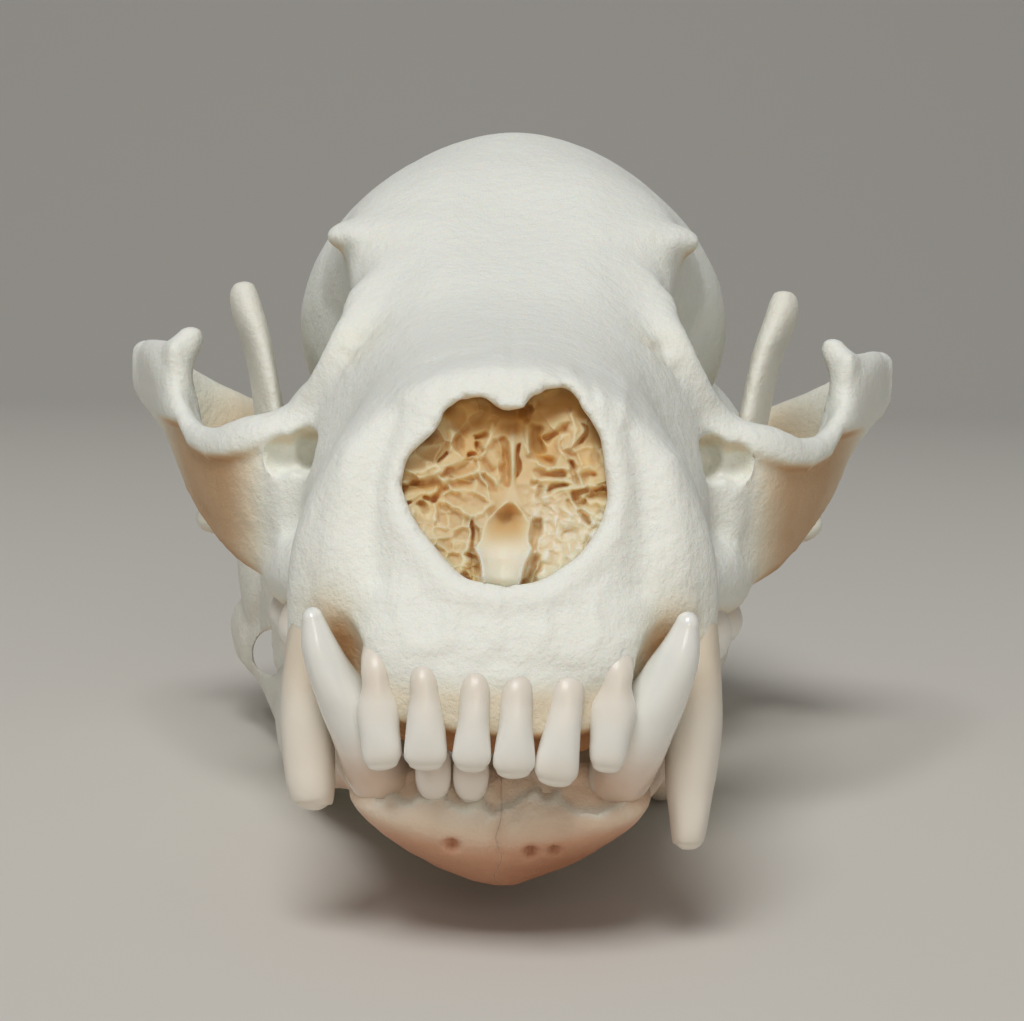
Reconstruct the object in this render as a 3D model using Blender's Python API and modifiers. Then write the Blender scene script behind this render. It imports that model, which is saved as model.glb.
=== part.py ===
"""Raccoon skull with its lower jaw closed, life size, as a museum shows it.

The skull is modelled in its own anatomical frame and then moved so that it rests on the floor on its jaw.
Anatomical frame: x to the animal's left, y from the front of the upper incisors to the back, z up from the
edge of the upper tooth sockets. All the sizes below are in millimetres, and MM turns them to metres.
"""

import math

import bmesh
import bpy
import numpy as np
from mathutils import Vector

MM = 0.001

# Driving sizes of the skull
SKULL_TOP = 41.2
BRAINCASE_WIDTH = 43.9
MUZZLE_WIDTH = 30.6
CHEEK_WIDTH = 75.6
APERTURE_WIDTH = 14.7
APERTURE_LOW = 4.8
APERTURE_HIGH = 18.6
JAW_FOOT = -20.4

# How far each half of the jaw leans in at its low rear corner, left and right
JAW_LEAN = {1: 4.2, -1: -1.5}

# From the anatomical frame to the floor under the middle of the skull
REST_SHIFT = (0.0, -57.1, -JAW_FOOT)

# How far a cheek arch leans out for each millimetre up: at its rear, and more beside the eye
REAR_SLANT = 0.08
EYE_SLANT = 0.20

# Gap that touching bones keep
GAP = 0.3

# Points closer than this become one, and faces thinner than this go
SLIVER = 0.02
THINNEST_FACE = 0.002

# Angles at which a rounded end narrows
END_ANGLES = (75, 50, 25)

# Fineness of the fused bones
BONE_VOXEL = 0.8
JAW_VOXEL = 0.7
SMOOTHING = 6
CRANIUM_TRIANGLES = 5300
JAW_TRIANGLES = 1000
RINGS_PER_SPAN = 4

# Upper front teeth from the animal's right to its left: x, y, tip height, half width
UPPER_INCISORS = [
    (-7.75, 1.2, -6.6, 1.25),
    (-4.95, 0.3, -6.4, 1.38),
    (-1.9, -0.2, -6.3, 1.38),
    (0.95, -0.2, -6.5, 1.28),
    (3.9, 0.3, -7.2, 1.40),
    (7.35, 1.4, -6.6, 1.32),
]

# Heights of the upper eye teeth tips, right and left
UPPER_EYE_TOOTH_TIPS = (-10.8, -13.2)

# Cheek teeth from front to back: x, y, tip height, half width, half length
UPPER_CHEEK_TEETH = [
    (12.4, 16.2, -3.4, 1.1, 1.4),
    (12.6, 20.6, -4.2, 1.4, 2.0),
    (13.2, 25.8, -4.4, 1.8, 2.5),
    (14.8, 32.6, -4.3, 3.7, 3.6),
    (16.0, 40.6, -4.2, 4.2, 3.8),
    (15.6, 48.0, -4.0, 3.8, 3.0),
]
LOWER_CHEEK_TEETH = [
    (10.6, 14.6, -6.6, 1.0, 1.2),
    (11.2, 18.6, -5.6, 1.2, 1.9),
    (12.0, 23.4, -5.3, 1.4, 2.3),
    (13.0, 28.9, -5.0, 1.8, 2.5),
    (14.2, 36.6, -4.8, 2.4, 4.4),
    (16.2, 46.2, -4.8, 2.4, 4.2),
]
LOWER_INCISORS = [(-4.5, 4.0), (-1.9, 3.6)]

# Depths of the nose chamber with its share of the opening's width
CHAMBER = [(-3.0, 1.0), (8.0, 1.0), (14.0, 1.02), (20.0, 0.92), (24.6, 0.7)]

# Sideways place of the middle wall of the nose
WALL_X = 0.4

# Fingers of thin bone between the side walls and the middle wall of the nose: start, middle and end
SCROLL_FINGERS = [
    ((5.0, 11.4), (3.6, 12.2), (1.9, 11.6)),
    ((5.2, 11.6), (4.0, 13.6), (2.1, 14.0)),
    ((6.0, 11.4), (5.4, 13.8), (3.8, 15.4)),
    ((5.0, 10.6), (3.6, 9.8), (2.8, 8.2)),
]

BONE_COLOUR = (0.80, 0.78, 0.70, 1.0)
TURBINATE_COLOUR = (0.72, 0.55, 0.33, 1.0)


def smooth_rows(rows, per_span=RINGS_PER_SPAN):
    """A Catmull-Rom curve through the rows of a table, every column at once."""
    rows = np.asarray(rows, float)
    ends = np.vstack([2 * rows[0] - rows[1], rows, 2 * rows[-1] - rows[-2]])
    t = np.linspace(0, 1, per_span, endpoint=False)[:, None]
    spans = []
    for a, b, c, d in zip(ends, ends[1:], ends[2:], ends[3:]):
        bend = (2 * a - 5 * b + 4 * c - d) * t**2 + (3 * b - a - 3 * c + d) * t**3
        spans.append(0.5 * (2 * b + (c - a) * t + bend))
    return np.vstack(spans + [rows[-1:]])


def signed_power(value, power):
    return np.sign(value) * np.abs(value) ** power


def cross_sections(rows, sides=32, per_span=RINGS_PER_SPAN):
    """Rings across y. A row holds y, top, foot, half width, height of the widest place, and how square
    the section is above and below that place (2 is an ellipse)."""
    table = smooth_rows(rows, per_span)
    turn = np.linspace(0, 2 * math.pi, sides, endpoint=False)
    rings = []
    for y, top, foot, half, widest, crown, keel in table:
        square = np.where(np.sin(turn) > 0, crown, keel)
        rise = np.where(np.sin(turn) > 0, top - widest, widest - foot)
        x = half * signed_power(np.cos(turn), 2 / square)
        z = widest + rise * signed_power(np.sin(turn), 2 / square)
        rings.append(np.stack([x, np.full(sides, y), z], axis=1))
    return np.array(rings)


def stroke(rows, sides=16, up=(0, 0, 1), per_span=RINGS_PER_SPAN, round_ends=True):
    """Rings along a path. A row holds x, y, z, half the thickness across and half the height along up."""
    table = smooth_rows(rows, per_span)
    centres, half_across, half_up = table[:, :3], table[:, 3], table[:, 4]
    ahead = np.gradient(centres, axis=0)
    ahead /= np.linalg.norm(ahead, axis=1)[:, None]
    across = np.cross(ahead, np.asarray(up, float))
    across /= np.linalg.norm(across, axis=1)[:, None]
    above = np.cross(across, ahead)
    if round_ends:
        blunt = np.radians(END_ANGLES)
        for last, sign, order in ((0, -1, 1), (-1, 1, -1)):
            reach = min(half_across[last], half_up[last])
            shift = sign * reach * np.sin(blunt[::order])[:, None] * ahead[last]
            shrink = np.cos(blunt[::order])
            more = [centres[last] + shift, half_across[last] * shrink, half_up[last] * shrink]
            more += [np.repeat(v[last][None], len(blunt), axis=0) for v in (across, above)]
            old = [centres, half_across, half_up, across, above]
            pairs = [(m, o) if last == 0 else (o, m) for m, o in zip(more, old)]
            centres, half_across, half_up, across, above = [np.concatenate(p) for p in pairs]
    turn = np.linspace(0, 2 * math.pi, sides, endpoint=False)
    ring = half_across[:, None, None] * np.cos(turn)[:, None] * across[:, None]
    ring = ring + half_up[:, None, None] * np.sin(turn)[:, None] * above[:, None]
    return centres[:, None] + ring


def mirrored(rings):
    """The same rings on the animal's right."""
    return rings * np.array([-1, 1, 1])


def both_sides(rings):
    return [rings, mirrored(rings)]


def slanted(rings):
    """Leans a cheek arch out at its upper edge, most beside the eye and little from 70 mm back."""
    above_middle = rings[..., 2] - rings[..., 2].mean(axis=1, keepdims=True)
    beside_eye = np.clip((70.0 - rings[..., 1]) / 10.0, 0, 1)
    moved = rings.copy()
    moved[..., 0] += above_middle * (REAR_SLANT + EYE_SLANT * beside_eye)
    return moved


def object_of_rings(name, ring_sets):
    """One mesh object of closed lofts, each a set of rings with a point at either end."""
    shape = bmesh.new()
    for rings in ring_sets:
        grid = [[shape.verts.new(Vector(p) * MM) for p in ring] for ring in rings]
        for ring, following in zip(grid, grid[1:]):
            for i in range(len(ring)):
                j = (i + 1) % len(ring)
                shape.faces.new((ring[i], ring[j], following[j], following[i]))
        for ring, points in ((grid[0], rings[0]), (grid[-1], rings[-1])):
            tip = shape.verts.new(Vector(points.mean(axis=0)) * MM)
            for i in range(len(ring)):
                shape.faces.new((ring[i], ring[(i + 1) % len(ring)], tip))
    bmesh.ops.recalc_face_normals(shape, faces=shape.faces)
    mesh = bpy.data.meshes.new(name)
    shape.to_mesh(mesh)
    shape.free()
    made = bpy.data.objects.new(name, mesh)
    bpy.context.scene.collection.objects.link(made)
    return made


def settle(obj):
    """Replaces an object's mesh by what its modifiers make of it."""
    graph = bpy.context.evaluated_depsgraph_get()
    mesh = bpy.data.meshes.new_from_object(obj.evaluated_get(graph))
    old = obj.data
    obj.modifiers.clear()
    obj.data = mesh
    bpy.data.meshes.remove(old)
    return obj


def remove(objects):
    for obj in list(objects):
        bpy.data.objects.remove(obj)


def fused(name, ring_sets, voxel, triangles):
    """Bone grown into one piece: the lofts are remeshed together, softened and thinned out."""
    bone = object_of_rings(name, ring_sets)
    remesh = bone.modifiers.new("grow together", "REMESH")
    remesh.mode = "VOXEL"
    remesh.voxel_size = voxel * MM
    soften = bone.modifiers.new("soften", "SMOOTH")
    soften.factor = 0.5
    soften.iterations = SMOOTHING
    settle(bone)
    keep_largest(bone)
    full = sum(len(face.vertices) - 2 for face in bone.data.polygons)
    thin = bone.modifiers.new("thin out", "DECIMATE")
    thin.ratio = triangles / full
    return settle(bone)


def reach_of(group):
    """Volume of the box round some points of a mesh."""
    return float(np.prod(np.ptp(np.array([vert.co for vert in group]), axis=0)))


def keep_largest(obj):
    """Keeps the largest closed surface of a mesh and drops the rest."""
    shape = bmesh.new()
    shape.from_mesh(obj.data)
    shape.verts.ensure_lookup_table()
    label = [-1] * len(shape.verts)
    groups = []
    for start in shape.verts:
        if label[start.index] >= 0:
            continue
        group, stack = [], [start]
        label[start.index] = len(groups)
        while stack:
            vert = stack.pop()
            group.append(vert)
            for edge in vert.link_edges:
                other = edge.other_vert(vert)
                if label[other.index] < 0:
                    label[other.index] = len(groups)
                    stack.append(other)
        groups.append(group)
    largest = max(groups, key=reach_of)
    drop = [vert for group in groups if group is not largest for vert in group]
    bmesh.ops.delete(shape, geom=drop, context="VERTS")
    bmesh.ops.remove_doubles(shape, verts=shape.verts, dist=SLIVER * MM)
    bmesh.ops.dissolve_degenerate(shape, edges=shape.edges, dist=THINNEST_FACE * MM)
    shape.to_mesh(obj.data)
    shape.free()
    return obj


def boolean(obj, operation, others):
    """Cuts, joins or intersects an object with others, which are then removed."""
    group = bpy.data.collections.new("boolean pieces")
    for other in others:
        group.objects.link(other)
    change = obj.modifiers.new(operation.lower(), "BOOLEAN")
    change.operation = operation
    change.solver = "MANIFOLD"
    if operation == "INTERSECT":
        change.object = others[0]
    else:
        change.operand_type = "COLLECTION"
        change.collection = group
    settle(obj)
    remove(others)
    bpy.data.collections.remove(group)
    return keep_largest(obj)


def copy_of(obj, name):
    twin = obj.copy()
    twin.data = obj.data.copy()
    twin.name = name
    bpy.context.scene.collection.objects.link(twin)
    return twin


def on_plan(a, b, c, axis):
    """The point (a, b) of an outline at height c along an axis, Z or X."""
    return Vector((a, b, c) if axis == "Z" else (c, a, b)) * MM


def prism(name, corners, low, high, axis="Z"):
    """A closed prism on a plan outline. With axis Z the corners are (x, y), with axis X they are (y, z)."""
    shape = bmesh.new()
    foot = [shape.verts.new(on_plan(a, b, low, axis)) for a, b in corners]
    face = shape.faces.new(foot)
    raised = bmesh.ops.extrude_face_region(shape, geom=[face])
    rise = on_plan(0, 0, high - low, axis)
    moved = [item for item in raised["geom"] if isinstance(item, bmesh.types.BMVert)]
    bmesh.ops.translate(shape, verts=moved, vec=rise)
    bmesh.ops.recalc_face_normals(shape, faces=shape.faces)
    mesh = bpy.data.meshes.new(name)
    shape.to_mesh(mesh)
    shape.free()
    made = bpy.data.objects.new(name, mesh)
    bpy.context.scene.collection.objects.link(made)
    return made


# Cranium: the muzzle, forehead and braincase are lofts along the midline

def muzzle():
    half = MUZZLE_WIDTH / 2
    return cross_sections([
        (0.5, 2.0, -0.9, 6.0, 0.6, 2.2, 3.0),
        (1.8, 4.4, -1.4, 8.6, 0.6, 2.2, 3.0),
        (3.6, 8.2, -1.2, 9.8, 1.2, 2.3, 3.0),
        (5.6, 12.6, -0.9, 12.2, 2.0, 2.3, 3.0),
        (8.2, 19.2, -0.6, half - 0.5, 3.0, 1.95, 3.0),
        (11.0, 20.4, -0.2, half, 3.0, 2.05, 3.0),
        (17.0, 21.2, 0.0, half, 3.5, 2.15, 3.0),
        (25.0, 22.6, 0.0, half + 0.5, 4.5, 2.3, 3.0),
        (33.0, 24.6, 0.0, half + 1.2, 6.0, 2.4, 3.0),
        (41.0, 27.4, 0.2, half + 2.0, 6.0, 2.4, 3.0),
        (48.0, 29.5, 0.6, half, 7.0, 2.2, 3.0),
        (55.0, 30.5, 3.0, 11.0, 10.0, 2.0, 2.4),
    ])


def forehead():
    return cross_sections([
        (29.0, 22.6, 10.0, 6.0, 18.0, 2.2, 2.0),
        (36.0, 25.8, 10.0, 11.6, 19.0, 2.4, 2.0),
        (43.0, 29.4, 9.0, 13.0, 22.5, 2.6, 2.0),
        (49.0, 32.8, 8.0, 14.3, 28.0, 2.6, 1.8),
        (53.0, 35.2, 7.0, 15.2, 29.0, 2.4, 1.5),
        (58.0, 37.6, 7.0, 16.2, 28.6, 2.1, 1.4),
        (66.0, SKULL_TOP - 1.0, 8.0, 18.4, 26.0, 1.85, 1.7),
    ])


def braincase():
    half = BRAINCASE_WIDTH / 2
    return cross_sections([
        (54.0, 33.0, 12.0, 9.0, 24.0, 1.88, 2.0),
        (60.0, SKULL_TOP - 3.0, 9.0, half * 0.64, 24.5, 1.80, 2.1),
        (66.0, SKULL_TOP - 0.8, 8.0, half * 0.83, 24.0, 1.78, 2.2),
        (73.0, SKULL_TOP, 7.5, half * 0.95, 23.5, 1.77, 2.3),
        (81.0, SKULL_TOP - 0.2, 7.2, half, 22.5, 1.77, 2.4),
        (89.0, SKULL_TOP - 2.0, 7.0, half * 0.99, 21.0, 1.80, 2.5),
        (97.0, SKULL_TOP - 5.0, 7.0, half * 0.91, 19.0, 1.88, 2.6),
        (104.0, SKULL_TOP - 8.7, 7.2, half * 0.77, 17.0, 2.0, 2.6),
        (109.5, 27.0, 8.0, half * 0.57, 16.0, 2.1, 2.4),
        (113.0, 20.5, 11.0, half * 0.33, 15.5, 2.0, 2.0),
    ])


def palate_and_base():
    """The long bony palate behind the molars, and the keel of bone under the braincase."""
    return cross_sections([
        (40.0, 14.0, 0.6, 13.0, 5.0, 2.4, 3.5),
        (50.0, 15.0, 1.0, 10.0, 6.0, 2.2, 3.5),
        (58.0, 16.0, 1.8, 8.0, 8.0, 2.2, 3.0),
        (65.0, 16.0, 2.6, 7.2, 9.0, 2.2, 2.6),
        (72.0, 15.0, 5.4, 6.0, 10.0, 2.0, 2.2),
        (82.0, 13.0, 6.0, 6.4, 10.0, 2.0, 2.6),
        (96.0, 13.0, 5.8, 8.0, 10.0, 2.0, 2.6),
        (108.0, 13.0, 7.0, 8.0, 10.0, 2.0, 2.4),
    ])


def cheek_arch():
    outermost = CHEEK_WIDTH / 2
    return slanted(stroke([
        (14.0, 38.5, 7.4, 4.2, 7.8),
        (19.5, 40.0, 7.3, 3.5, 7.4),
        (24.0, 43.5, 7.6, 2.5, 6.0),
        (28.0, 49.5, 9.9, 1.8, 4.8),
        (31.5, 57.0, 14.5, 1.5, 5.2),
        (34.3, 65.0, 16.3, 1.5, 4.0),
        (outermost - 1.6, 72.5, 16.7, 1.5, 3.3),
        (35.5, 77.5, 15.0, 1.7, 2.8),
        (32.5, 82.5, 11.8, 2.5, 2.7),
        (26.0, 85.6, 9.6, 3.5, 2.8),
        (19.0, 86.5, 10.0, 4.0, 3.0),
    ], sides=20))


def tooth_row_swelling():
    """The side of the upper jaw over the roots of the big cheek teeth."""
    return stroke([
        (15.2, 28.0, 2.6, 1.8, 2.6),
        (17.2, 36.0, 1.9, 2.9, 3.2),
        (17.6, 42.0, 1.9, 3.0, 3.3),
        (15.6, 49.0, 2.6, 2.2, 2.6),
    ])


def orbit_rim():
    """The rounded lower rim of the eye socket, from the tear bone out to the foot of the cheek process."""
    return stroke([
        (11.8, 42.0, 25.4, 1.6, 1.6),
        (12.9, 38.2, 22.6, 1.6, 1.6),
        (14.2, 36.8, 19.4, 1.6, 1.6),
        (16.8, 38.4, 15.6, 1.5, 1.6),
        (19.4, 41.5, 13.9, 1.4, 1.4),
        (24.0, 47.0, 11.7, 1.4, 1.4),
        (28.0, 51.5, 12.2, 1.4, 1.4),
        (29.6, 52.6, 15.0, 1.4, 1.4),
    ], up=(0.5, 1, 0))


def cheek_process():
    """The upright point of the cheek bone behind the eye."""
    return stroke([
        (28.8, 52.5, 11.5, 1.6, 2.8),
        (29.5, 53.4, 16.0, 1.5, 2.8),
        (29.3, 54.0, 20.7, 1.4, 1.9),
    ], up=(0, 1, 0))


def brow_process():
    return stroke([
        (8.0, 49.6, 29.6, 4.5, 2.2),
        (11.8, 50.4, 29.9, 3.4, 1.7),
        (14.8, 51.4, 30.0, 1.9, 1.1),
    ])


def jaw_socket():
    """The shelf over the jaw joint, and the lip of bone behind it."""
    shelf = stroke([
        (17.0, 85.0, 8.6, 5.0, 3.2),
        (24.0, 84.4, 6.9, 4.9, 2.6),
        (33.0, 83.2, 8.6, 4.0, 2.4),
    ])
    lip = stroke([
        (20.0, 88.8, 5.2, 1.5, 3.0),
        (25.5, 88.8, 4.6, 1.5, 3.0),
        (30.5, 88.4, 6.4, 1.5, 2.6),
    ])
    return [shelf, lip]


def ear_region():
    """The ear tube, the mastoid bump behind it and the jugular point beside the neck."""
    tube = stroke([(16.0, 90.5, 8.0, 3.2, 3.2), (24.8, 92.0, 9.6, 2.9, 2.9)])
    mastoid = stroke([
        (15.6, 96.5, 16.0, 5.0, 4.6),
        (21.4, 97.0, 11.4, 3.6, 4.0),
        (25.2, 96.6, 6.4, 2.8, 3.0),
    ])
    jugular = stroke([
        (14.0, 103.0, 11.0, 3.4, 3.0),
        (18.4, 103.4, 7.0, 2.2, 2.6),
        (19.8, 102.8, 3.8, 1.5, 1.8),
    ])
    return [tube, mastoid, jugular]


def ear_capsule():
    return cross_sections([
        (-9.6, 1.2, -1.2, 1.6, 0.0, 2.0, 2.0),
        (-7.0, 4.6, -4.4, 4.4, 0.0, 2.0, 2.0),
        (-1.5, 6.4, -6.3, 6.4, 0.0, 2.0, 2.0),
        (4.0, 6.0, -5.8, 6.2, 0.0, 2.0, 2.0),
        (8.2, 3.6, -3.4, 4.0, 0.0, 2.0, 2.0),
        (9.8, 1.0, -1.0, 1.4, 0.0, 2.0, 2.0),
    ], sides=24) + np.array([14.8, 86.5, 5.6])


def neck_condyle():
    return stroke([
        (9.2, 108.6, 15.2, 2.8, 2.6),
        (8.8, 112.4, 11.2, 3.2, 3.3),
        (5.4, 111.6, 7.2, 2.6, 2.2),
    ], up=(1, 0, 0))


def nape_crest():
    """The low crest that runs over the back of the skull from ear to ear."""
    return stroke([
        (20.6, 97.0, 12.4, 2.2, 2.2),
        (18.4, 99.6, 19.4, 2.2, 2.2),
        (14.4, 102.6, 26.0, 2.4, 2.4),
        (8.0, 105.6, 30.8, 2.4, 2.4),
        (0.0, 107.2, 32.6, 2.2, 2.4),
    ])


def mid_crest():
    return stroke([
        (0.0, 84.0, 39.4, 1.0, 1.2),
        (0.0, 94.0, 37.2, 1.0, 1.5),
        (0.0, 102.0, 34.6, 1.1, 1.7),
        (0.0, 108.6, 32.6, 1.3, 1.8),
    ])


def wing_plates():
    """The thin plates that hang from the palate's rear to the hooks above the throat."""
    plate = stroke([
        (5.9, 60.0, 6.5, 0.95, 4.6),
        (5.9, 67.0, 6.4, 0.85, 5.2),
        (6.0, 73.0, 6.4, 0.8, 5.0),
        (6.4, 78.0, 7.0, 0.8, 3.4),
    ])
    hook = stroke([(6.0, 72.5, 2.6, 0.8, 1.0), (6.6, 77.5, 1.0, 0.7, 0.8)])
    return [plate, hook]


def aperture_rings(shrink):
    """The nose opening: widest above mid height, narrow below, with a point of bone hanging at the top.
    A row of shrink holds y and the share of the full width."""
    half = APERTURE_WIDTH / 2
    middle = APERTURE_LOW + 0.5 * (APERTURE_HIGH - APERTURE_LOW)
    rows = []
    for y, share in shrink:
        high = middle + (APERTURE_HIGH - middle) * share
        low = middle - (middle - APERTURE_LOW) * share
        rows.append((y, high, low, half * share, middle, 2.6, 1.5))
    rings = cross_sections(rows, sides=28, per_span=2)
    beak = np.exp(-((rings[..., 0] / 1.5) ** 2)) * np.clip((rings[..., 2] - middle) / 5.0, 0, 1)
    rings[..., 2] -= 1.1 * beak
    return rings


def column(rows, sides=8, per_span=1):
    """A tooth or pillar: rings up a near upright path. A row holds x, y, z, half width and half depth."""
    return stroke(rows, sides=sides, up=(0, 1, 0), per_span=per_span, round_ends=False)


def upper_teeth():
    """Front teeth, eye teeth and cheek teeth of the upper jaw. The left eye tooth is worn shorter."""
    teeth = []
    for x, y, tip, half in UPPER_INCISORS:
        teeth.append(column([
            (x * 0.96, y + 2.4, 3.5, 0.9, 1.2),
            (x, y + 0.8, -0.8, half - 0.15, 1.5),
            (x, y + 0.2, -3.4, half, 1.35),
            (x, y, tip + 1.0, half, 0.95),
            (x, y, tip, half * 0.8, 0.55),
        ]))
    for side, tip in ((1, UPPER_EYE_TOOTH_TIPS[1]), (-1, UPPER_EYE_TOOTH_TIPS[0])):
        teeth.append(column([
            (side * 12.6, 12.0, 6.0, 1.9, 2.6),
            (side * 13.2, 9.6, 0.0, 2.2, 3.0),
            (side * 13.4, 8.4, -4.0, 2.0, 2.8),
            (side * 13.2, 7.6, -8.4, 1.7, 2.2),
            (side * 13.1, 7.2, tip, 1.1, 1.3),
        ], sides=12, per_span=2))
        for x, y, tip_z, half_width, half_length in UPPER_CHEEK_TEETH:
            teeth.append(column([
                (side * x, y, 3.0, half_width * 0.7, half_length * 0.7),
                (side * x, y, -0.6, half_width * 0.9, half_length * 0.85),
                (side * x, y, -2.4, half_width, half_length),
                (side * x, y, tip_z, half_width * 0.62, half_length * 0.66),
            ]))
    return teeth


def lower_teeth(side):
    """Teeth of one half of the lower jaw. Only the animal's right half still has front teeth."""
    teeth = [column([
        (side * 7.4, 10.4, -13.5, 2.0, 2.3),
        (side * 8.6, 6.6, -8.5, 2.4, 2.6),
        (side * 9.6, 4.9, -5.0, 2.3, 2.4),
        (side * 10.9, 3.7, -1.0, 1.9, 2.0),
        (side * 12.1, 3.1, 2.2, 1.35, 1.4),
        (side * 12.7, 3.0, 4.1, 0.7, 0.75),
    ], sides=12, per_span=2)]
    for x, y, tip_z, half_width, half_length in LOWER_CHEEK_TEETH:
        teeth.append(column([
            (side * x, y, -12.0, half_width * 0.7, half_length * 0.7),
            (side * x, y, -8.6, half_width * 0.9, half_length * 0.85),
            (side * x, y, -7.0, half_width, half_length),
            (side * x, y, tip_z, half_width * 0.6, half_length * 0.66),
        ]))
    if side < 0:
        for x, y in LOWER_INCISORS:
            teeth.append(column([
                (x, y + 1.4, -12.4, 0.8, 1.1),
                (x, y + 0.3, -9.0, 1.1, 1.3),
                (x, y, -7.4, 1.15, 0.95),
                (x, y - 0.1, -6.9, 0.85, 0.6),
            ]))
    return teeth


def joined_teeth(bone, teeth):
    pieces = [object_of_rings(f"tooth {i}", [rings]) for i, rings in enumerate(teeth)]
    return boolean(bone, "UNION", pieces)


def cranium():
    bones = [muzzle(), forehead(), braincase(), palate_and_base(), mid_crest()]
    for piece in (cheek_arch(), tooth_row_swelling(), orbit_rim(), cheek_process(), brow_process(), *jaw_socket(),
                  *ear_region(), ear_capsule(), neck_condyle(), nape_crest(), *wing_plates()):
        bones += both_sides(piece)
    whole = fused("cranium", bones, BONE_VOXEL, CRANIUM_TRIANGLES)
    canal = stroke([
        (18.2, 30.0, 11.6, 2.1, 2.1),
        (17.6, 35.0, 11.5, 1.9, 1.9),
        (17.6, 40.0, 11.4, 1.7, 1.7),
        (18.4, 50.0, 11.4, 1.9, 1.9),
    ], sides=10, per_span=2, round_ends=False)
    neck_hole = cross_sections([
        (97.0, 15.0, 11.0, 3.0, 13.0, 2.0, 2.0),
        (101.0, 18.5, 9.4, 6.4, 13.6, 2.2, 2.2),
        (108.0, 20.0, 8.6, 7.4, 14.0, 2.2, 2.2),
        (118.0, 20.6, 8.2, 7.8, 14.2, 2.2, 2.2),
    ], sides=20)
    ear_hole = stroke([(20.0, 91.4, 8.6, 1.7, 1.7), (30.0, 92.8, 10.6, 1.9, 1.9)], sides=10, round_ends=False)
    roof = cross_sections([
        (4.0, 1.0, -6.0, 4.5, -2.0, 2.4, 2.4),
        (14.0, 2.0, -6.0, 8.4, -2.0, 2.4, 2.4),
        (30.0, 2.6, -6.0, 9.6, -2.0, 2.4, 2.4),
        (44.0, 3.0, -6.0, 9.2, -2.0, 2.4, 2.4),
        (52.0, 2.0, -6.0, 4.0, -2.0, 2.4, 2.4),
    ], sides=20)
    throat = cross_sections([
        (60.0, 7.0, 5.0, 2.0, 6.0, 2.4, 2.4),
        (66.0, 8.2, 3.8, 4.4, 6.0, 2.6, 2.6),
        (74.0, 8.0, 1.0, 4.8, 5.0, 2.6, 2.6),
        (84.0, 6.2, -3.0, 4.8, 2.0, 2.6, 2.6),
    ], sides=16)
    gape = column([(10.2, 4.2, -6.0, 3.3, 3.2), (11.2, 3.6, 0.0, 3.1, 3.1), (12.0, 3.0, 5.4, 1.9, 2.0)],
                  sides=12, per_span=2)
    cuts = [aperture_rings(CHAMBER), neck_hole, roof, throat]
    for piece in (canal, ear_hole, gape):
        cuts += both_sides(piece)
    cutters = [object_of_rings(f"cutter {i}", [rings]) for i, rings in enumerate(cuts)]
    return joined_teeth(boolean(whole, "DIFFERENCE", cutters), upper_teeth())


# Parting of the cranium into the pieces that a person names

ARCH_PLAN = [(21.5, 28.0), (21.5, 62.0), (26.2, 78.0), (26.2, 91.2), (46.0, 91.2), (46.0, 28.0)]
EAR_PLAN = [(8.2, 76.0), (8.2, 97.0), (22.0, 97.0), (22.0, 76.0)]
EAR_LEVEL = 6.2
MUZZLE_SIDE = [(-20.0, 60.0), (38.0, 60.0), (38.0, 30.0), (53.8, -3.0), (53.8, -30.0), (-20.0, -30.0)]


def grown(corners, by):
    """The corners of a plan pushed out from their middle along each axis."""
    points = np.array(corners)
    middle = (points.max(axis=0) + points.min(axis=0)) / 2
    return [tuple(p + by * np.sign(p - middle)) for p in points]


def part_cranium(whole):
    nodes = []
    arch_cuts, ear_cuts = [], []
    for name, sign in (("left", 1), ("right", -1)):
        plan = [(sign * x, y) for x, y in ARCH_PLAN]
        arch = copy_of(whole, f"cheek_arch_{name}")
        nodes.append(boolean(arch, "INTERSECT", [prism("plan", plan, -30, 60)]))
        arch_cuts.append(prism("plan", [(sign * (x - GAP), y + GAP * (y > 80)) for x, y in ARCH_PLAN], -30, 60))
        plan = [(sign * x, y) for x, y in EAR_PLAN]
        capsule = copy_of(whole, f"ear_capsule_{name}")
        nodes.append(boolean(capsule, "INTERSECT", [prism("plan", plan, -30, EAR_LEVEL)]))
        ear_cuts.append(prism("plan", grown(plan, GAP), -30, EAR_LEVEL + GAP))
    body = boolean(copy_of(whole, "body"), "DIFFERENCE", arch_cuts)
    front = boolean(copy_of(body, "muzzle"), "INTERSECT", [prism("side", MUZZLE_SIDE, -40, 40, axis="X")])
    wide = [(y + GAP * (y > 0), z) for y, z in MUZZLE_SIDE]
    back = boolean(copy_of(body, "braincase"), "DIFFERENCE", ear_cuts + [prism("side", wide, -40, 40, axis="X")])
    remove([whole, body])
    return nodes + [front, back]


# Lower jaw: two halves that meet in front

def leaning(rings, side):
    """Moves the low rear part of one half of the jaw in toward the midline."""
    back = np.clip((rings[..., 1] - 20.0) / 60.0, 0, 1)
    low = np.clip((2.0 - rings[..., 2]) / 12.0, 0, 1)
    moved = rings.copy()
    moved[..., 0] -= side * JAW_LEAN[side] * back * low
    return moved


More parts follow.
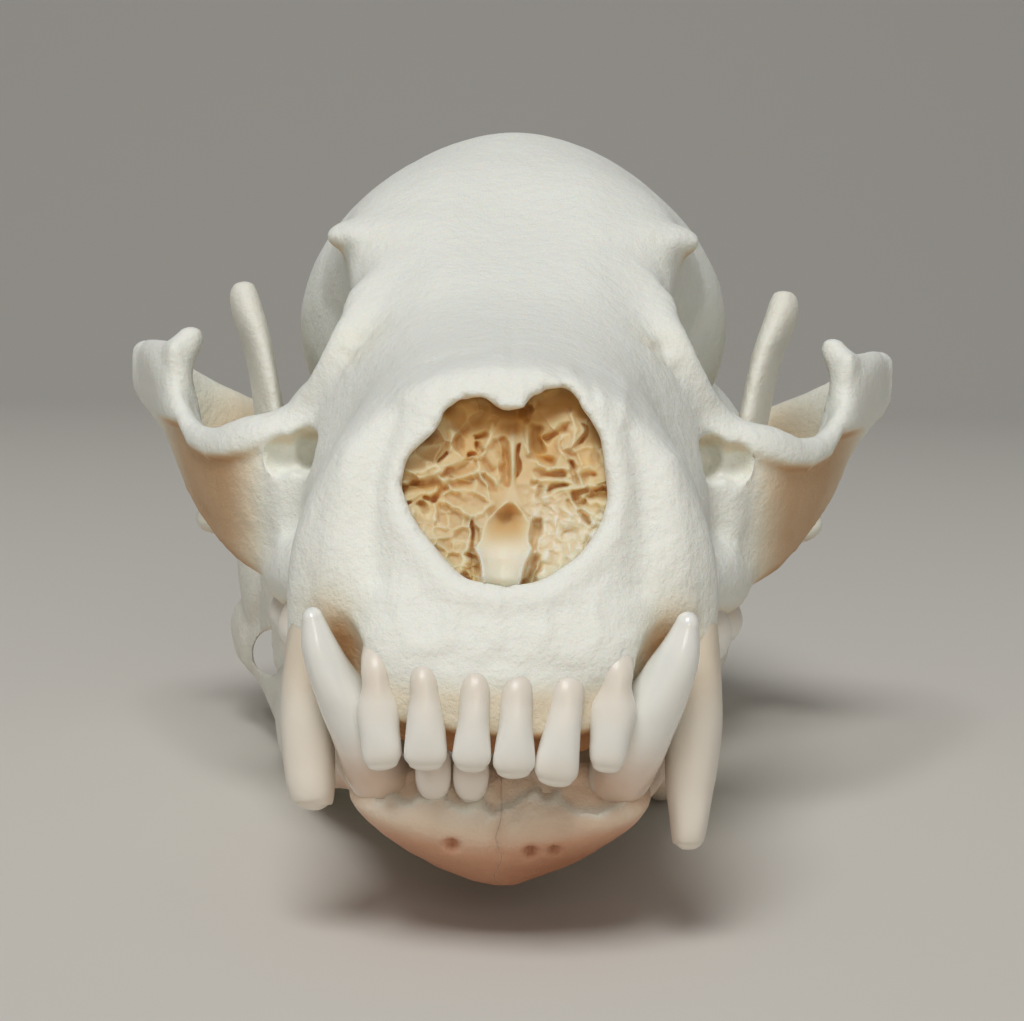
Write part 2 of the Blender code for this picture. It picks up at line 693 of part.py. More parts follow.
def chin():
    """The front of the jaw, a wedge from below, with a flat top behind the sockets of the front teeth."""
    return cross_sections([
        (3.6, -10.0, -12.2, 6.0, -10.8, 3.0, 1.6),
        (4.3, -9.5, -13.6, 8.6, -10.4, 3.0, 1.5),
        (5.6, -8.8, -15.2, 10.0, -10.2, 3.0, 1.4),
        (7.5, -8.2, -16.4, 10.6, -10.1, 3.0, 1.4),
        (10.5, -8.2, -17.0, 10.7, -10.2, 3.0, 1.45),
        (14.5, -8.8, -17.0, 10.4, -10.6, 2.6, 1.6),
        (18.0, -9.6, -16.4, 9.4, -11.2, 2.4, 1.8),
        (20.5, -11.0, -15.0, 7.0, -12.4, 2.2, 2.0),
    ])


def jaw_side():
    body = stroke([
        (5.6, 14.0, -12.2, 2.4, 3.2),
        (7.4, 21.0, -11.9, 3.0, 3.4),
        (10.9, 30.0, -11.8, 3.0, 3.5),
        (14.2, 40.0, -12.8, 3.0, 4.5),
        (16.4, 50.0, -14.2, 3.0, 6.0),
        (18.2, 60.0, -14.7, 2.8, 6.2),
        (20.2, 68.0, -14.0, 2.4, 6.6),
        (22.9, 75.5, -11.0, 1.9, 5.2),
        (26.0, 82.0, -9.8, 1.6, 4.4),
    ], sides=20)
    angle = stroke([(25.2, 79.0, -10.6, 1.5, 3.8), (26.6, 84.0, -9.8, 1.5, 2.8), (26.8, 88.0, -8.8, 1.2, 1.6)])
    ramus = stroke([
        (20.8, 70.0, -12.0, 2.0, 8.0),
        (22.2, 71.0, -4.0, 1.6, 9.2),
        (23.1, 71.5, 4.0, 1.45, 8.0),
        (24.0, 72.0, 12.0, 1.35, 6.2),
        (25.3, 73.0, 19.0, 1.4, 4.6),
        (26.9, 74.0, 23.8, 1.5, 2.9),
        (27.2, 74.5, 26.0, 1.0, 1.5),
    ], sides=18, up=(0.25, 1, 0), round_ends=False)
    neck = stroke([(24.0, 76.0, -6.0, 1.7, 4.0), (25.8, 80.0, -2.6, 1.8, 3.4), (26.6, 83.2, -0.4, 2.0, 2.2)])
    condyle = stroke([(23.6, 84.2, 0.9, 1.7, 1.8), (26.4, 84.0, 1.1, 2.2, 2.2), (31.6, 83.4, 1.5, 1.7, 1.8)])
    return [body, angle, ramus, neck, condyle]


def lower_jaw():
    bones = [chin()]
    for piece in jaw_side():
        bones += [leaning(piece, 1), leaning(mirrored(piece), -1)]
    whole = fused("jaw", bones, JAW_VOXEL, 2 * JAW_TRIANGLES)
    nodes = []
    for name, side in (("left", 1), ("right", -1)):
        half = joined_teeth(copy_of(whole, f"jaw_{name}"), [leaning(rings, side) for rings in lower_teeth(side)])
        cut = GAP / 2
        plan = [(side * cut, -10.0), (side * cut, 110.0), (side * 50.0, 110.0), (side * 50.0, -10.0)]
        nodes.append(boolean(half, "INTERSECT", [prism("half", plan, JAW_FOOT, 60)]))
    remove([whole])
    return nodes


# Scrolls of thin bone inside the nose

def scroll_plate(points, side=1, half_thick=0.42, middle=15.0, half_deep=4.6):
    """A thin upright sheet along a line of (x, z) points, mirrored about the middle wall for side -1."""
    rows = [(WALL_X + side * (x - WALL_X), middle, z, half_thick, half_deep) for x, z in points]
    return stroke(rows, sides=6, up=(0, 1, 0), per_span=2, round_ends=False)


def nose_scrolls():
    """The middle wall, its foot, the scrolled plates of both sides and the bone that they grow from."""
    pieces = [aperture_rings([(18.6, 0.80), (21.0, 0.78), (23.6, 0.62)])]
    wall = [(0.4, 16.4), (0.5, 13.5), (0.4, 10.4), (0.3, 7.4)]
    pieces.append(scroll_plate(wall, half_thick=0.5, middle=15.4, half_deep=5.0))
    pieces.append(stroke([(0.2, 5.6, 6.3, 1.5, 0.8), (0.3, 12.0, 7.6, 1.3, 1.1), (0.4, 19.6, 9.0, 1.1, 1.6)], sides=8))
    for side in (-1, 1):
        curl = [(6.6, 11.3), (5.4, 11.5), (4.7, 10.7), (5.1, 9.8), (5.9, 10.0)]
        pieces.append(scroll_plate(curl, side, middle=14.2))
        pieces.append(scroll_plate([(0.6, 10.9), (1.8, 9.4), (3.0, 8.6)], side))
        pieces += [scroll_plate(finger, side) for finger in SCROLL_FINGERS]
    base = object_of_rings("nose_scrolls", [pieces[0]])
    plates = [object_of_rings(f"plate {i}", [rings]) for i, rings in enumerate(pieces[1:])]
    return boolean(base, "UNION", plates)


def finished(nodes):
    """Names, colours and gathers the pieces, and sets the skull on the floor."""
    home = bpy.data.collections.new("raccoon skull")
    bpy.context.scene.collection.children.link(home)
    rest = bpy.data.objects.new("rest", None)
    rest.location = Vector(REST_SHIFT) * MM
    home.objects.link(rest)
    for node in nodes:
        for group in list(node.users_collection):
            group.objects.unlink(node)
        home.objects.link(node)
        node.data.name = node.name
        node.parent = rest
        paint = bpy.data.materials.new(f"{node.name} bone")
        paint.use_nodes = True
        shader = paint.node_tree.nodes["Principled BSDF"]
        shader.inputs["Base Color"].default_value = TURBINATE_COLOUR if "scroll" in node.name else BONE_COLOUR
        shader.inputs["Roughness"].default_value = 0.55
        node.data.materials.clear()
        node.data.materials.append(paint)


def main():
    remove(bpy.data.objects)
    nodes = part_cranium(cranium()) + lower_jaw() + [nose_scrolls()]
    finished(nodes)


main()
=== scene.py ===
import bmesh
import bpy
import numpy as np
from mathutils import Matrix, Vector


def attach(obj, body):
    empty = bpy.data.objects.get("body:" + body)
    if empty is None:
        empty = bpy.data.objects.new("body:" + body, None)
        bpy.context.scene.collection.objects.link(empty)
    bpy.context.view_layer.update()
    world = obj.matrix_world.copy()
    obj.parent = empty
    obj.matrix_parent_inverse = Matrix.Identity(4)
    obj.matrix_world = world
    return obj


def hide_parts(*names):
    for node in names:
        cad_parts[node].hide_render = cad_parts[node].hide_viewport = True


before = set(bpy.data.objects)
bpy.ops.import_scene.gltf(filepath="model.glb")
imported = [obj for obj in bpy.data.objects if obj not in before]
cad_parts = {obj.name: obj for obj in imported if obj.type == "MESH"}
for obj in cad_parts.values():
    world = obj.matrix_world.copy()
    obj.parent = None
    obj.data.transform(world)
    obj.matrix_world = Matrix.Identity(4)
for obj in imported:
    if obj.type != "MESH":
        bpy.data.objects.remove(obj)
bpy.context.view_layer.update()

# Skull without its jaw
# A raccoon's whitened skull: one rigid bone, knit from many, with a hollow nose and two cheek arches.
# It is matt, chalk white and finely porous, and ivory where it is thin; most of its tan and brown is painted
# shade.
# Sizes are millimetres in the skull's own frame: x to its left, y back from the front teeth, z up from the
# sockets.

MM = 0.001
TO_FLOOR = np.array([0.0, -57.1, 20.4])

# The point that the skull is looked at from, and the depth at which the nose opening's outline is measured
EYE = np.array([1.2, -134.8, 24.1])
OUTLINE_DEPTH = 12.0


def curve_through(rows, steps):
    """Catmull-Rom: p(t) = 1/2 (2b + (c-a)t + (2a-5b+4c-d)t^2 + (3b-a-3c+d)t^3) for each span b to c."""
    rows = np.asarray(rows, float)
    ends = np.vstack([2 * rows[0] - rows[1], rows, 2 * rows[-1] - rows[-2]])
    t = np.linspace(0, 1, steps, endpoint=False)[:, None]
    spans = [0.5 * (2 * b + (c - a) * t + (2 * a - 5 * b + 4 * c - d) * t**2 + (3 * b - a - 3 * c + d) * t**3)
             for a, b, c, d in zip(ends, ends[1:], ends[2:], ends[3:])]
    return np.vstack(spans + [rows[-1:]])


def loop_through(points, steps):
    """The same curve, closed."""
    points = np.asarray(points, float)
    wrapped = np.vstack([points[-2:], points, points[:3]])
    return curve_through(wrapped, steps)[2 * steps:(len(points) + 2) * steps]


def ring_of(angle, power):
    """Superellipse |c|^n + |s|^n = 1 at an angle: (sign cos |cos|^(2/n), sign sin |sin|^(2/n))."""
    c, s = np.cos(angle), np.sin(angle)
    return np.sign(c) * np.abs(c) ** (2 / power), np.sign(s) * np.abs(s) ** (2 / power)


def sections(rows, steps=8, sides=72):
    """Rings across y, superellipses with one power above the widest place and another below.
    A row holds y, top, foot, half width, height of the widest place, power above and power below."""
    y, top, foot, half, wide, crown, keel = curve_through(rows, steps).T[:, :, None]
    angle = np.linspace(0, 2 * np.pi, sides, endpoint=False)[None, :]
    above = np.sin(angle) > 0
    c, s = ring_of(angle, np.where(above, crown, keel))
    z = wide + np.where(above, top - wide, wide - foot) * s
    return np.stack([half * c, np.broadcast_to(y, z.shape), z], axis=-1)


def stroke(rows, up=(0, 0, 1), steps=6, sides=24, round_ends=True, power=2.0):
    """Rings c(s) + across(s) A cos a + above(s) B sin a along a path. A row holds x, y, z, A and B."""
    table = curve_through(rows, steps)
    centre, size = table[:, :3], table[:, 3:5]
    ahead = np.gradient(centre, axis=0)
    ahead /= np.linalg.norm(ahead, axis=1)[:, None]
    across = np.cross(ahead, np.asarray(up, float))
    across /= np.linalg.norm(across, axis=1)[:, None]
    above = np.cross(across, ahead)
    if round_ends:
        lean = np.radians([78, 62, 45, 25, 10])[:, None]
        start = centre[0] - ahead[0] * size[0].min() * np.sin(lean)
        end = centre[-1] + ahead[-1] * size[-1].min() * np.sin(lean[::-1])
        centre = np.vstack([start, centre, end])
        size = np.vstack([size[0] * np.cos(lean), size, size[-1] * np.cos(lean[::-1])])
        across = np.vstack([np.repeat(across[:1], 5, 0), across, np.repeat(across[-1:], 5, 0)])
        above = np.vstack([np.repeat(above[:1], 5, 0), above, np.repeat(above[-1:], 5, 0)])
    c, s = ring_of(np.linspace(0, 2 * np.pi, sides, endpoint=False)[None, :, None], power)
    return centre[:, None] + across[:, None] * size[:, None, :1] * c + above[:, None] * size[:, None, 1:] * s


def twin(grid):
    """The same rings on both sides of the skull."""
    return [grid, grid * np.array([-1, 1, 1])]


def mesh_object(name, grids):
    """One object of closed lofts. Points p[i, j] join to quads (i, j) (i, j+1) (i+1, j+1) (i+1, j), j wraps
    round, and a point in the middle of the first and of the last ring closes the ends."""
    points, faces, first = [], [], 0
    for grid in grids:
        rows, sides = grid.shape[:2]
        number = first + np.arange(rows * sides).reshape(rows, sides)
        following = np.roll(number, -1, axis=1)
        quads = np.stack([number[:-1], following[:-1], following[1:], number[1:]], axis=-1).reshape(-1, 4)
        low, high = first + rows * sides, first + rows * sides + 1
        faces += quads.tolist()
        faces += [[n, m, low] for m, n in zip(number[0], following[0])]
        faces += [[m, n, high] for m, n in zip(number[-1], following[-1])]
        points += [grid.reshape(-1, 3), grid[:1].mean(axis=1), grid[-1:].mean(axis=1)]
        first += rows * sides + 2
    mesh = bpy.data.meshes.new(name)
    mesh.from_pydata(((np.vstack(points) + TO_FLOOR) * MM).tolist(), [], faces)
    shape = bmesh.new()
    shape.from_mesh(mesh)
    bmesh.ops.recalc_face_normals(shape, faces=shape.faces)
    shape.to_mesh(mesh)
    shape.free()
    made = bpy.data.objects.new(name, mesh)
    bpy.context.scene.collection.objects.link(made)
    return made


def settle(obj):
    """Makes what the modifiers show the mesh itself."""
    mesh = bpy.data.meshes.new_from_object(obj.evaluated_get(bpy.context.evaluated_depsgraph_get()))
    obj.modifiers.clear()
    obj.data = mesh
    mesh.name = obj.name
    return obj


def grow_together(obj, voxel, passes):
    """Joins overlapping lofts into one skin, as fine as the voxel in millimetres, and softens it."""
    remesh = obj.modifiers.new("grow together", "REMESH")
    remesh.mode = "VOXEL"
    remesh.voxel_size = voxel * MM
    soften = obj.modifiers.new("soften", "SMOOTH")
    soften.factor = 0.5
    soften.iterations = passes
    return settle(obj)


def cut_away(obj, cutters):
    """Takes the cutters' shapes out of the object."""
    tools = bpy.data.collections.new("cutters")
    for cutter in cutters:
        tools.objects.link(cutter)
    cut = obj.modifiers.new("cut", "BOOLEAN")
    cut.operand_type = "COLLECTION"
    cut.collection = tools
    cut.solver = "MANIFOLD"
    settle(obj)
    for cutter in cutters:
        bpy.data.objects.remove(cutter)
    bpy.data.collections.remove(tools)
    return obj


def thin_out(obj, triangles):
    """Thins a mesh out to that many triangles at most, and shades it smooth."""
    now = sum(len(face.vertices) - 2 for face in obj.data.polygons)
    if now > triangles:
        thin = obj.modifiers.new("thin out", "DECIMATE")
        thin.ratio = triangles / now
        settle(obj)
    obj.data.polygons.foreach_set("use_smooth", np.ones(len(obj.data.polygons), bool))
    return obj


def points_of(obj):
    """Vertex places in the skull's frame, and vertex normals."""
    p = np.empty(len(obj.data.vertices) * 3, np.float32)
    n = np.empty(len(obj.data.vertices) * 3, np.float32)
    obj.data.vertices.foreach_get("co", p)
    obj.data.vertex_normals.foreach_get("vector", n)
    return p.reshape(-1, 3).astype(float) / MM - TO_FLOOR, n.reshape(-1, 3).astype(float)


def put_points(obj, p):
    """Moves the vertices to places in the skull's frame."""
    obj.data.vertices.foreach_set("co", ((p + TO_FLOOR) * MM).astype(np.float32).ravel())
    obj.data.update()


def noise(p, size, seed):
    """Smooth noise from -1 to 1: random values on a lattice of that size, blended with 3t^2 - 2t^3."""
    q = p / size + 100.0
    cell = np.floor(q).astype(np.int64)
    t = q - cell
    t = t * t * (3 - 2 * t)
    total = np.zeros(len(p))
    for corner in np.ndindex(2, 2, 2):
        h = (cell + corner) @ np.array([73856093, 19349663, 83492791]) + seed * 2654435
        h = (h ^ (h >> 13)) * 1274126177 & 0x7FFFFFFF
        value = (h ^ (h >> 16)) % 100003 / 50001.5 - 1
        total += value * np.prod(np.where(corner, t, 1 - t), axis=1)
    return total


def between(value, low, high):
    """Smooth step from 0 at low to 1 at high."""
    t = np.clip((value - low) / (high - low), 0, 1)
    return t * t * (3 - 2 * t)


def near_path(p, path):
    """Distance from each point to a path of straight pieces."""
    path = np.asarray(path, float)
    best = np.full(len(p), 1e9)
    for a, b in zip(path[:-1], path[1:]):
        along = np.clip(((p - a) @ (b - a)) / ((b - a) @ (b - a)), 0, 1)
        best = np.minimum(best, np.linalg.norm(p - a - along[:, None] * (b - a), axis=1))
    return best


def swell(distance, width):
    """exp(-(distance / width)^2)"""
    return np.exp(-((distance / width) ** 2))


def spot(p, middle, width, stretch=1):
    """exp(-(|(p - middle) / stretch| / width)^2)"""
    return swell(np.linalg.norm((p - middle) / stretch, axis=1), width)


def one_side(p):
    """(|x|, y, z), so that what is set out on the left is on the right too."""
    return np.column_stack([np.abs(p[:, 0]), p[:, 1:]])


def from_front(p):
    """x and z where the line from EYE through each point crosses the plane OUTLINE_DEPTH back."""
    share = (OUTLINE_DEPTH - EYE[1]) / (p[:, 1] - EYE[1])
    return EYE[[0, 2]] + (p[:, [0, 2]] - EYE[[0, 2]]) * share[:, None]


# Top of the braincase, and half the widths of the braincase, the muzzle and the cheek arches
TOP = 41.2
HALF_BRAIN = 21.95
HALF_MUZZLE = 15.3
HALF_CHEEK = 37.8

# No bone of the skull lies past these two corners
LOW_CORNER, HIGH_CORNER = (-37.6, -3, -12), (37.6, 115.35, 41.15)
CRANIUM_TRIANGLES = 196000

midline = [
    # muzzle
    sections([
        (0.5, 2.0, -0.9, 6.0, 0.6, 2.2, 3.0),
        (1.8, 4.4, -1.4, 8.6, 0.6, 2.2, 3.0),
        (3.6, 8.2, -1.2, 9.8, 1.2, 2.3, 3.0),
        (5.6, 12.6, -0.9, 12.2, 2.0, 2.3, 3.0),
        (8.2, 19.2, -0.6, HALF_MUZZLE - 0.5, 3.0, 1.95, 3.0),
        (11.0, 20.4, -0.2, HALF_MUZZLE, 3.0, 2.05, 3.0),
        (17.0, 21.2, 0.0, HALF_MUZZLE, 3.5, 2.15, 3.0),
        (25.0, 22.6, 0.0, HALF_MUZZLE + 0.5, 4.5, 2.3, 3.0),
        (33.0, 24.6, 0.0, HALF_MUZZLE + 1.2, 6.0, 2.4, 3.0),
        (41.0, 27.4, 0.2, HALF_MUZZLE + 2.0, 6.0, 2.4, 3.0),
        (48.0, 29.5, 0.6, HALF_MUZZLE, 7.0, 2.2, 3.0),
        (55.0, 30.5, 3.0, 11.0, 10.0, 2.0, 2.4)]),
    # forehead
    sections([
        (29.0, 22.6, 10.0, 6.0, 18.0, 2.2, 2.0),
        (36.0, 25.8, 10.0, 11.6, 19.0, 2.4, 2.0),
        (43.0, 29.4, 9.0, 13.0, 22.5, 2.6, 2.0),
        (49.0, 32.8, 8.0, 14.3, 28.0, 2.6, 1.8),
        (53.0, 35.2, 7.0, 15.2, 29.0, 2.4, 1.5),
        (58.0, 37.6, 7.0, 16.2, 28.6, 2.1, 1.4),
        (66.0, TOP - 1.0, 8.0, 18.4, 26.0, 1.85, 1.7)]),
    # braincase
    sections([
        (54.0, 33.0, 12.0, 9.0, 24.0, 1.88, 2.0),
        (60.0, TOP - 3.0, 9.0, HALF_BRAIN * 0.64, 24.5, 1.8, 2.1),
        (66.0, TOP - 0.8, 8.0, HALF_BRAIN * 0.83, 24.0, 1.78, 2.2),
        (73.0, TOP, 7.5, HALF_BRAIN * 0.95, 23.5, 1.77, 2.3),
        (81.0, TOP - 0.2, 7.2, HALF_BRAIN, 22.5, 1.77, 2.4),
        (89.0, TOP - 2.0, 7.0, HALF_BRAIN * 0.99, 21.0, 1.8, 2.5),
        (97.0, TOP - 5.0, 7.0, HALF_BRAIN * 0.91, 19.0, 1.88, 2.6),
        (104.0, TOP - 8.7, 7.2, HALF_BRAIN * 0.77, 17.0, 2.0, 2.6),
        (109.5, 27.0, 8.0, HALF_BRAIN * 0.57, 16.0, 2.1, 2.4),
        (113.0, 20.5, 11.0, HALF_BRAIN * 0.33, 15.5, 2.0, 2.0)]),
    # palate and the keel under the braincase
    sections([
        (40.0, 14.0, 0.6, 13.0, 5.0, 2.4, 3.5),
        (50.0, 15.0, 1.0, 10.0, 6.0, 2.2, 3.5),
        (58.0, 16.0, 1.8, 8.0, 8.0, 2.2, 3.0),
        (65.0, 16.0, 2.6, 7.2, 9.0, 2.2, 2.6),
        (72.0, 15.0, 5.4, 6.0, 10.0, 2.0, 2.2),
        (82.0, 13.0, 6.0, 6.4, 10.0, 2.0, 2.6),
        (96.0, 13.0, 5.8, 8.0, 10.0, 2.0, 2.6),
        (108.0, 13.0, 7.0, 8.0, 10.0, 2.0, 2.4)]),
    # crest along the back of the head
    stroke([
        (0, 84, 39.4, 1.0, 1.2), (0, 94, 37.2, 1.0, 1.5), (0, 102, 34.6, 1.1, 1.7),
        (0, 108.6, 32.6, 1.3, 1.8)]),
    # bone that stands between the front teeth
    stroke([
        (-8.8, 3.6, -0.8, 1.2, 1.9), (-6.4, 2.2, -1.5, 1.3, 2.3), (-3.4, 1.3, -1.7, 1.3, 2.5),
        (0.0, 1.1, -1.9, 1.3, 2.6), (3.3, 1.4, -2.1, 1.3, 2.7), (6.0, 2.4, -1.7, 1.3, 2.4),
        (8.8, 3.8, -0.8, 1.2, 1.9)], sides=40, power=3.2),
    # front of the palate behind them
    stroke([
        (-11.4, 8.6, -1.6, 1.0, 2.4), (-8.0, 5.4, -3.0, 0.9, 2.4), (-4.0, 3.6, -3.6, 0.9, 2.6),
        (0.0, 3.2, -3.8, 0.9, 2.6), (4.0, 3.6, -3.9, 0.9, 2.6), (8.0, 5.6, -3.0, 0.9, 2.4),
        (11.4, 8.6, -1.6, 1.0, 2.4)], sides=32)]


def slanted(grid):
    """x' = x + 0.28 (z - middle of its ring), fading to 0.08 from 60 to 70 mm back."""
    leaned = grid.copy()
    above_middle = grid[..., 2] - grid[..., 2].mean(axis=1, keepdims=True)
    leaned[..., 0] += above_middle * (0.08 + 0.20 * between(grid[..., 1], 70, 60))
    return leaned


pairs = [
    # cheek arch, out from the face, back past the eye and in to the ear; it slants out upward beside the eye
    slanted(stroke([
        (14.0, 38.5, 7.4, 4.2, 7.8), (19.5, 40.0, 7.3, 3.4, 7.4), (24.0, 43.5, 7.6, 2.3, 6.0),
        (28.0, 49.5, 9.9, 1.5, 4.8), (31.5, 57.0, 14.5, 1.3, 5.2), (34.3, 65.0, 16.3, 1.35, 4.0),
        (HALF_CHEEK - 1.7, 72.5, 16.7, 1.4, 3.3), (35.2, 77.5, 15.7, 1.6, 3.0), (32.0, 82.5, 12.7, 2.2, 3.4),
        (26.0, 85.6, 10.2, 3.2, 3.2), (19.0, 86.5, 10.0, 4.0, 3.0)], sides=36, power=2.3)),
    # plate that joins the arch to the point behind the eye
    slanted(stroke([
        (29.4, 53.0, 15.2, 1.25, 5.6), (32.4, 60.0, 17.1, 1.2, 3.6), (34.8, 66.0, 17.5, 1.2, 3.0)])),
    # rounded rim of the eye socket, up into the point of the cheek bone behind the eye
    stroke([
        (9.5, 44.0, 27.4, 1.6, 1.4), (12.3, 42.0, 25.4, 1.6, 1.4), (13.1, 38.2, 22.6, 1.5, 1.4),
        (14.4, 36.8, 19.4, 1.4, 1.4), (16.9, 38.5, 15.6, 1.3, 1.4), (19.4, 41.5, 14.0, 1.15, 1.2),
        (21.9, 44.5, 12.6, 1.1, 1.1), (24.0, 47.0, 11.8, 1.1, 1.1), (26.1, 49.5, 11.3, 1.15, 1.15),
        (28.2, 51.5, 12.2, 1.2, 1.2), (29.6, 52.5, 14.4, 1.2, 1.2), (30.0, 53.0, 16.9, 1.2, 1.2),
        (29.7, 53.5, 19.4, 1.3, 1.3), (29.1, 54.0, 20.7, 1.3, 1.3)], up=(0.5, 1, 0)),
    # swelling over the big cheek teeth
    stroke([
        (15.2, 28.0, 2.6, 1.8, 2.6), (17.2, 36.0, 1.9, 2.9, 3.2), (17.6, 42.0, 1.9, 3.0, 3.3),
        (15.6, 49.0, 2.6, 2.2, 2.6)]),
    # brow point
    stroke([(8.0, 49.6, 29.6, 4.5, 2.2), (12.4, 50.4, 30.1, 3.4, 1.8), (15.5, 51.4, 30.2, 2.1, 1.2)]),
    # shelf over the jaw joint and the lip behind it
    stroke([(17.0, 85.0, 8.6, 5.0, 3.2), (24.0, 84.4, 6.9, 4.9, 2.6), (33.0, 83.2, 8.6, 4.0, 2.4)]),
    stroke([(20.0, 88.8, 5.2, 1.5, 3.0), (25.5, 88.8, 4.6, 1.5, 3.0), (30.5, 88.4, 6.4, 1.5, 2.6)]),
    # ear tube, the bump behind it, and the point beside the neck
    stroke([(16.0, 90.5, 8.0, 3.2, 3.2), (24.8, 92.0, 9.6, 2.9, 2.9)]),
    stroke([(15.6, 96.5, 16.0, 5.0, 4.6), (21.4, 97.0, 11.4, 3.6, 4.0), (25.2, 96.6, 6.4, 2.8, 3.0)]),
    stroke([(14.0, 103.0, 11.0, 3.4, 3.0), (18.4, 103.4, 7.0, 2.2, 2.6), (19.8, 102.8, 3.8, 1.5, 1.8)]),
    # ear capsule
    sections([
        (-9.6, 1.2, -1.2, 1.6, 0.0, 2.0, 2.0), (-7.0, 4.6, -4.4, 4.4, 0.0, 2.0, 2.0),
        (-1.5, 6.4, -6.3, 6.4, 0.0, 2.0, 2.0), (4.0, 6.0, -5.8, 6.2, 0.0, 2.0, 2.0),
        (8.2, 3.6, -3.4, 4.0, 0.0, 2.0, 2.0), (9.8, 1.0, -1.0, 1.4, 0.0, 2.0, 2.0)], sides=48)
    + np.array([14.8, 86.5, 5.6]),
    # knuckle that the neck turns on
    stroke([(9.2, 108.6, 15.2, 2.8, 2.6), (8.8, 112.4, 11.2, 3.2, 3.3), (5.4, 111.6, 7.2, 2.6, 2.2)],
           up=(1, 0, 0)),
    # crest over the nape
    stroke([
        (20.6, 97.0, 12.4, 2.2, 2.2), (18.4, 99.6, 19.4, 2.2, 2.2), (14.4, 102.6, 26.0, 2.4, 2.4),
        (8.0, 105.6, 30.8, 2.4, 2.4), (0.0, 107.2, 32.6, 2.2, 2.4)]),
    # plates and hooks above the throat
    stroke([
        (5.9, 60.0, 6.5, 0.95, 4.6), (5.9, 67.0, 6.4, 0.85, 5.2), (6.0, 73.0, 6.4, 0.8, 5.0),
        (6.4, 78.0, 7.0, 0.8, 3.4)]),
    stroke([(6.0, 72.5, 2.6, 0.8, 1.0), (6.6, 77.5, 1.0, 0.7, 0.8)]),
    # root of the upper eye tooth, which swells the side of the muzzle
    stroke([(13.2, 9.4, 0.4, 2.0, 3.0), (12.7, 12.4, 6.0, 2.2, 3.0), (11.2, 17.5, 12.0, 2.0, 2.6)],
           up=(0, 1, 0)),
]

# Outline of the nose opening, from the point of bone at its top round by the right side of the nose
NOSE_OUTLINE = [
    (0.4, 17.0), (-0.4, 17.0), (-1.4, 17.7), (-2.6, 17.8), (-3.9, 17.3), (-4.6, 16.6), (-5.1, 15.4),
    (-6.1, 14.4), (-7.0, 13.5), (-7.4, 12.4), (-7.6, 11.2), (-7.3, 10.2), (-6.7, 8.7), (-5.4, 7.0),
    (-4.6, 6.0), (-3.4, 4.8), (-2.4, 4.2), (-0.9, 3.9), (1.0, 3.9), (3.0, 4.5), (4.1, 5.2), (5.4, 6.2),
    (6.8, 8.0), (7.3, 9.3), (7.6, 10.6), (7.5, 12.0), (7.2, 14.0), (6.9, 15.1), (5.6, 17.0), (4.5, 18.5),
    (3.5, 18.6), (2.6, 18.4), (1.7, 17.9), (1.0, 17.1)]
nose_edge = loop_through(NOSE_OUTLINE, 4)
nose_loop = np.vstack([nose_edge, nose_edge[:1]])
nose_middle = nose_edge.mean(axis=0)


def nose_ring(y, share):
    """The outline at depth y: spread along the lines from EYE, and drawn in to a share of its width."""
    flat = nose_middle + (nose_edge - nose_middle) * share
    flat = EYE[[0, 2]] + (flat - EYE[[0, 2]]) * (y - EYE[1]) / (OUTLINE_DEPTH - EYE[1])
    return np.stack([flat[:, 0], np.full(len(flat), y), flat[:, 1]], axis=1)


def even_out(obj, weight, passes):
    """p' = p + weight / 2 (mean of its neighbours - p), repeated."""
    p, n = points_of(obj)
    ends = np.empty(len(obj.data.edges) * 2, np.int32)
    obj.data.edges.foreach_get("vertices", ends)
    a, b = ends.reshape(-1, 2).T
    neighbours = np.bincount(ends, minlength=len(p))[:, None]
    for step in range(passes):
        total = [np.bincount(a, p[b, k], len(p)) + np.bincount(b, p[a, k], len(p)) for k in range(3)]
        p += weight[:, None] / 2 * (np.stack(total, axis=1) / neighbours - p)
    put_points(obj, p)


cranium = mesh_object("cranium", midline + [grid for pair in pairs for grid in twin(pair)])
grow_together(cranium, 0.6, 6)
p, n = points_of(cranium)
forehead = between(n[:, 2], -0.1, 0.4) * between(p[:, 2], 21.5, 25) * between(p[:, 1], 24, 32)
even_out(cranium, forehead * (1 - spot(one_side(p), (16.2, 51.4, 30), 2.4)), 40)

holes = [
    # nose opening and the hollow behind it
    np.stack([nose_ring(y, share) for y, share in (
        (-3, 1), (6, 1), (14, 1), (18, 0.96), (21.5, 0.86), (24.6, 0.66))]),
    # hole for the spinal cord
    sections([
        (97.0, 15.0, 11.0, 3.0, 13.0, 2.0, 2.0), (101.0, 18.5, 9.4, 6.4, 13.6, 2.2, 2.2),
        (108.0, 20.0, 8.6, 7.4, 14.0, 2.2, 2.2), (118.0, 20.6, 8.2, 7.8, 14.2, 2.2, 2.2)], sides=48),
    # arch of the palate, and the throat behind it
    sections([
        (4.0, 1.0, -6.0, 4.5, -2.0, 2.4, 2.4), (14.0, 2.0, -6.0, 8.4, -2.0, 2.4, 2.4),
        (30.0, 2.6, -6.0, 9.6, -2.0, 2.4, 2.4), (44.0, 3.0, -6.0, 9.2, -2.0, 2.4, 2.4),
        (52.0, 2.0, -6.0, 4.0, -2.0, 2.4, 2.4)], sides=48),
    sections([
        (60.0, 7.0, 5.0, 2.0, 6.0, 2.4, 2.4), (66.0, 8.2, 3.8, 4.4, 6.0, 2.6, 2.6),
        (74.0, 8.0, 1.0, 4.8, 5.0, 2.6, 2.6), (84.0, 6.2, -3.0, 4.8, 2.0, 2.6, 2.6)], sides=48)]
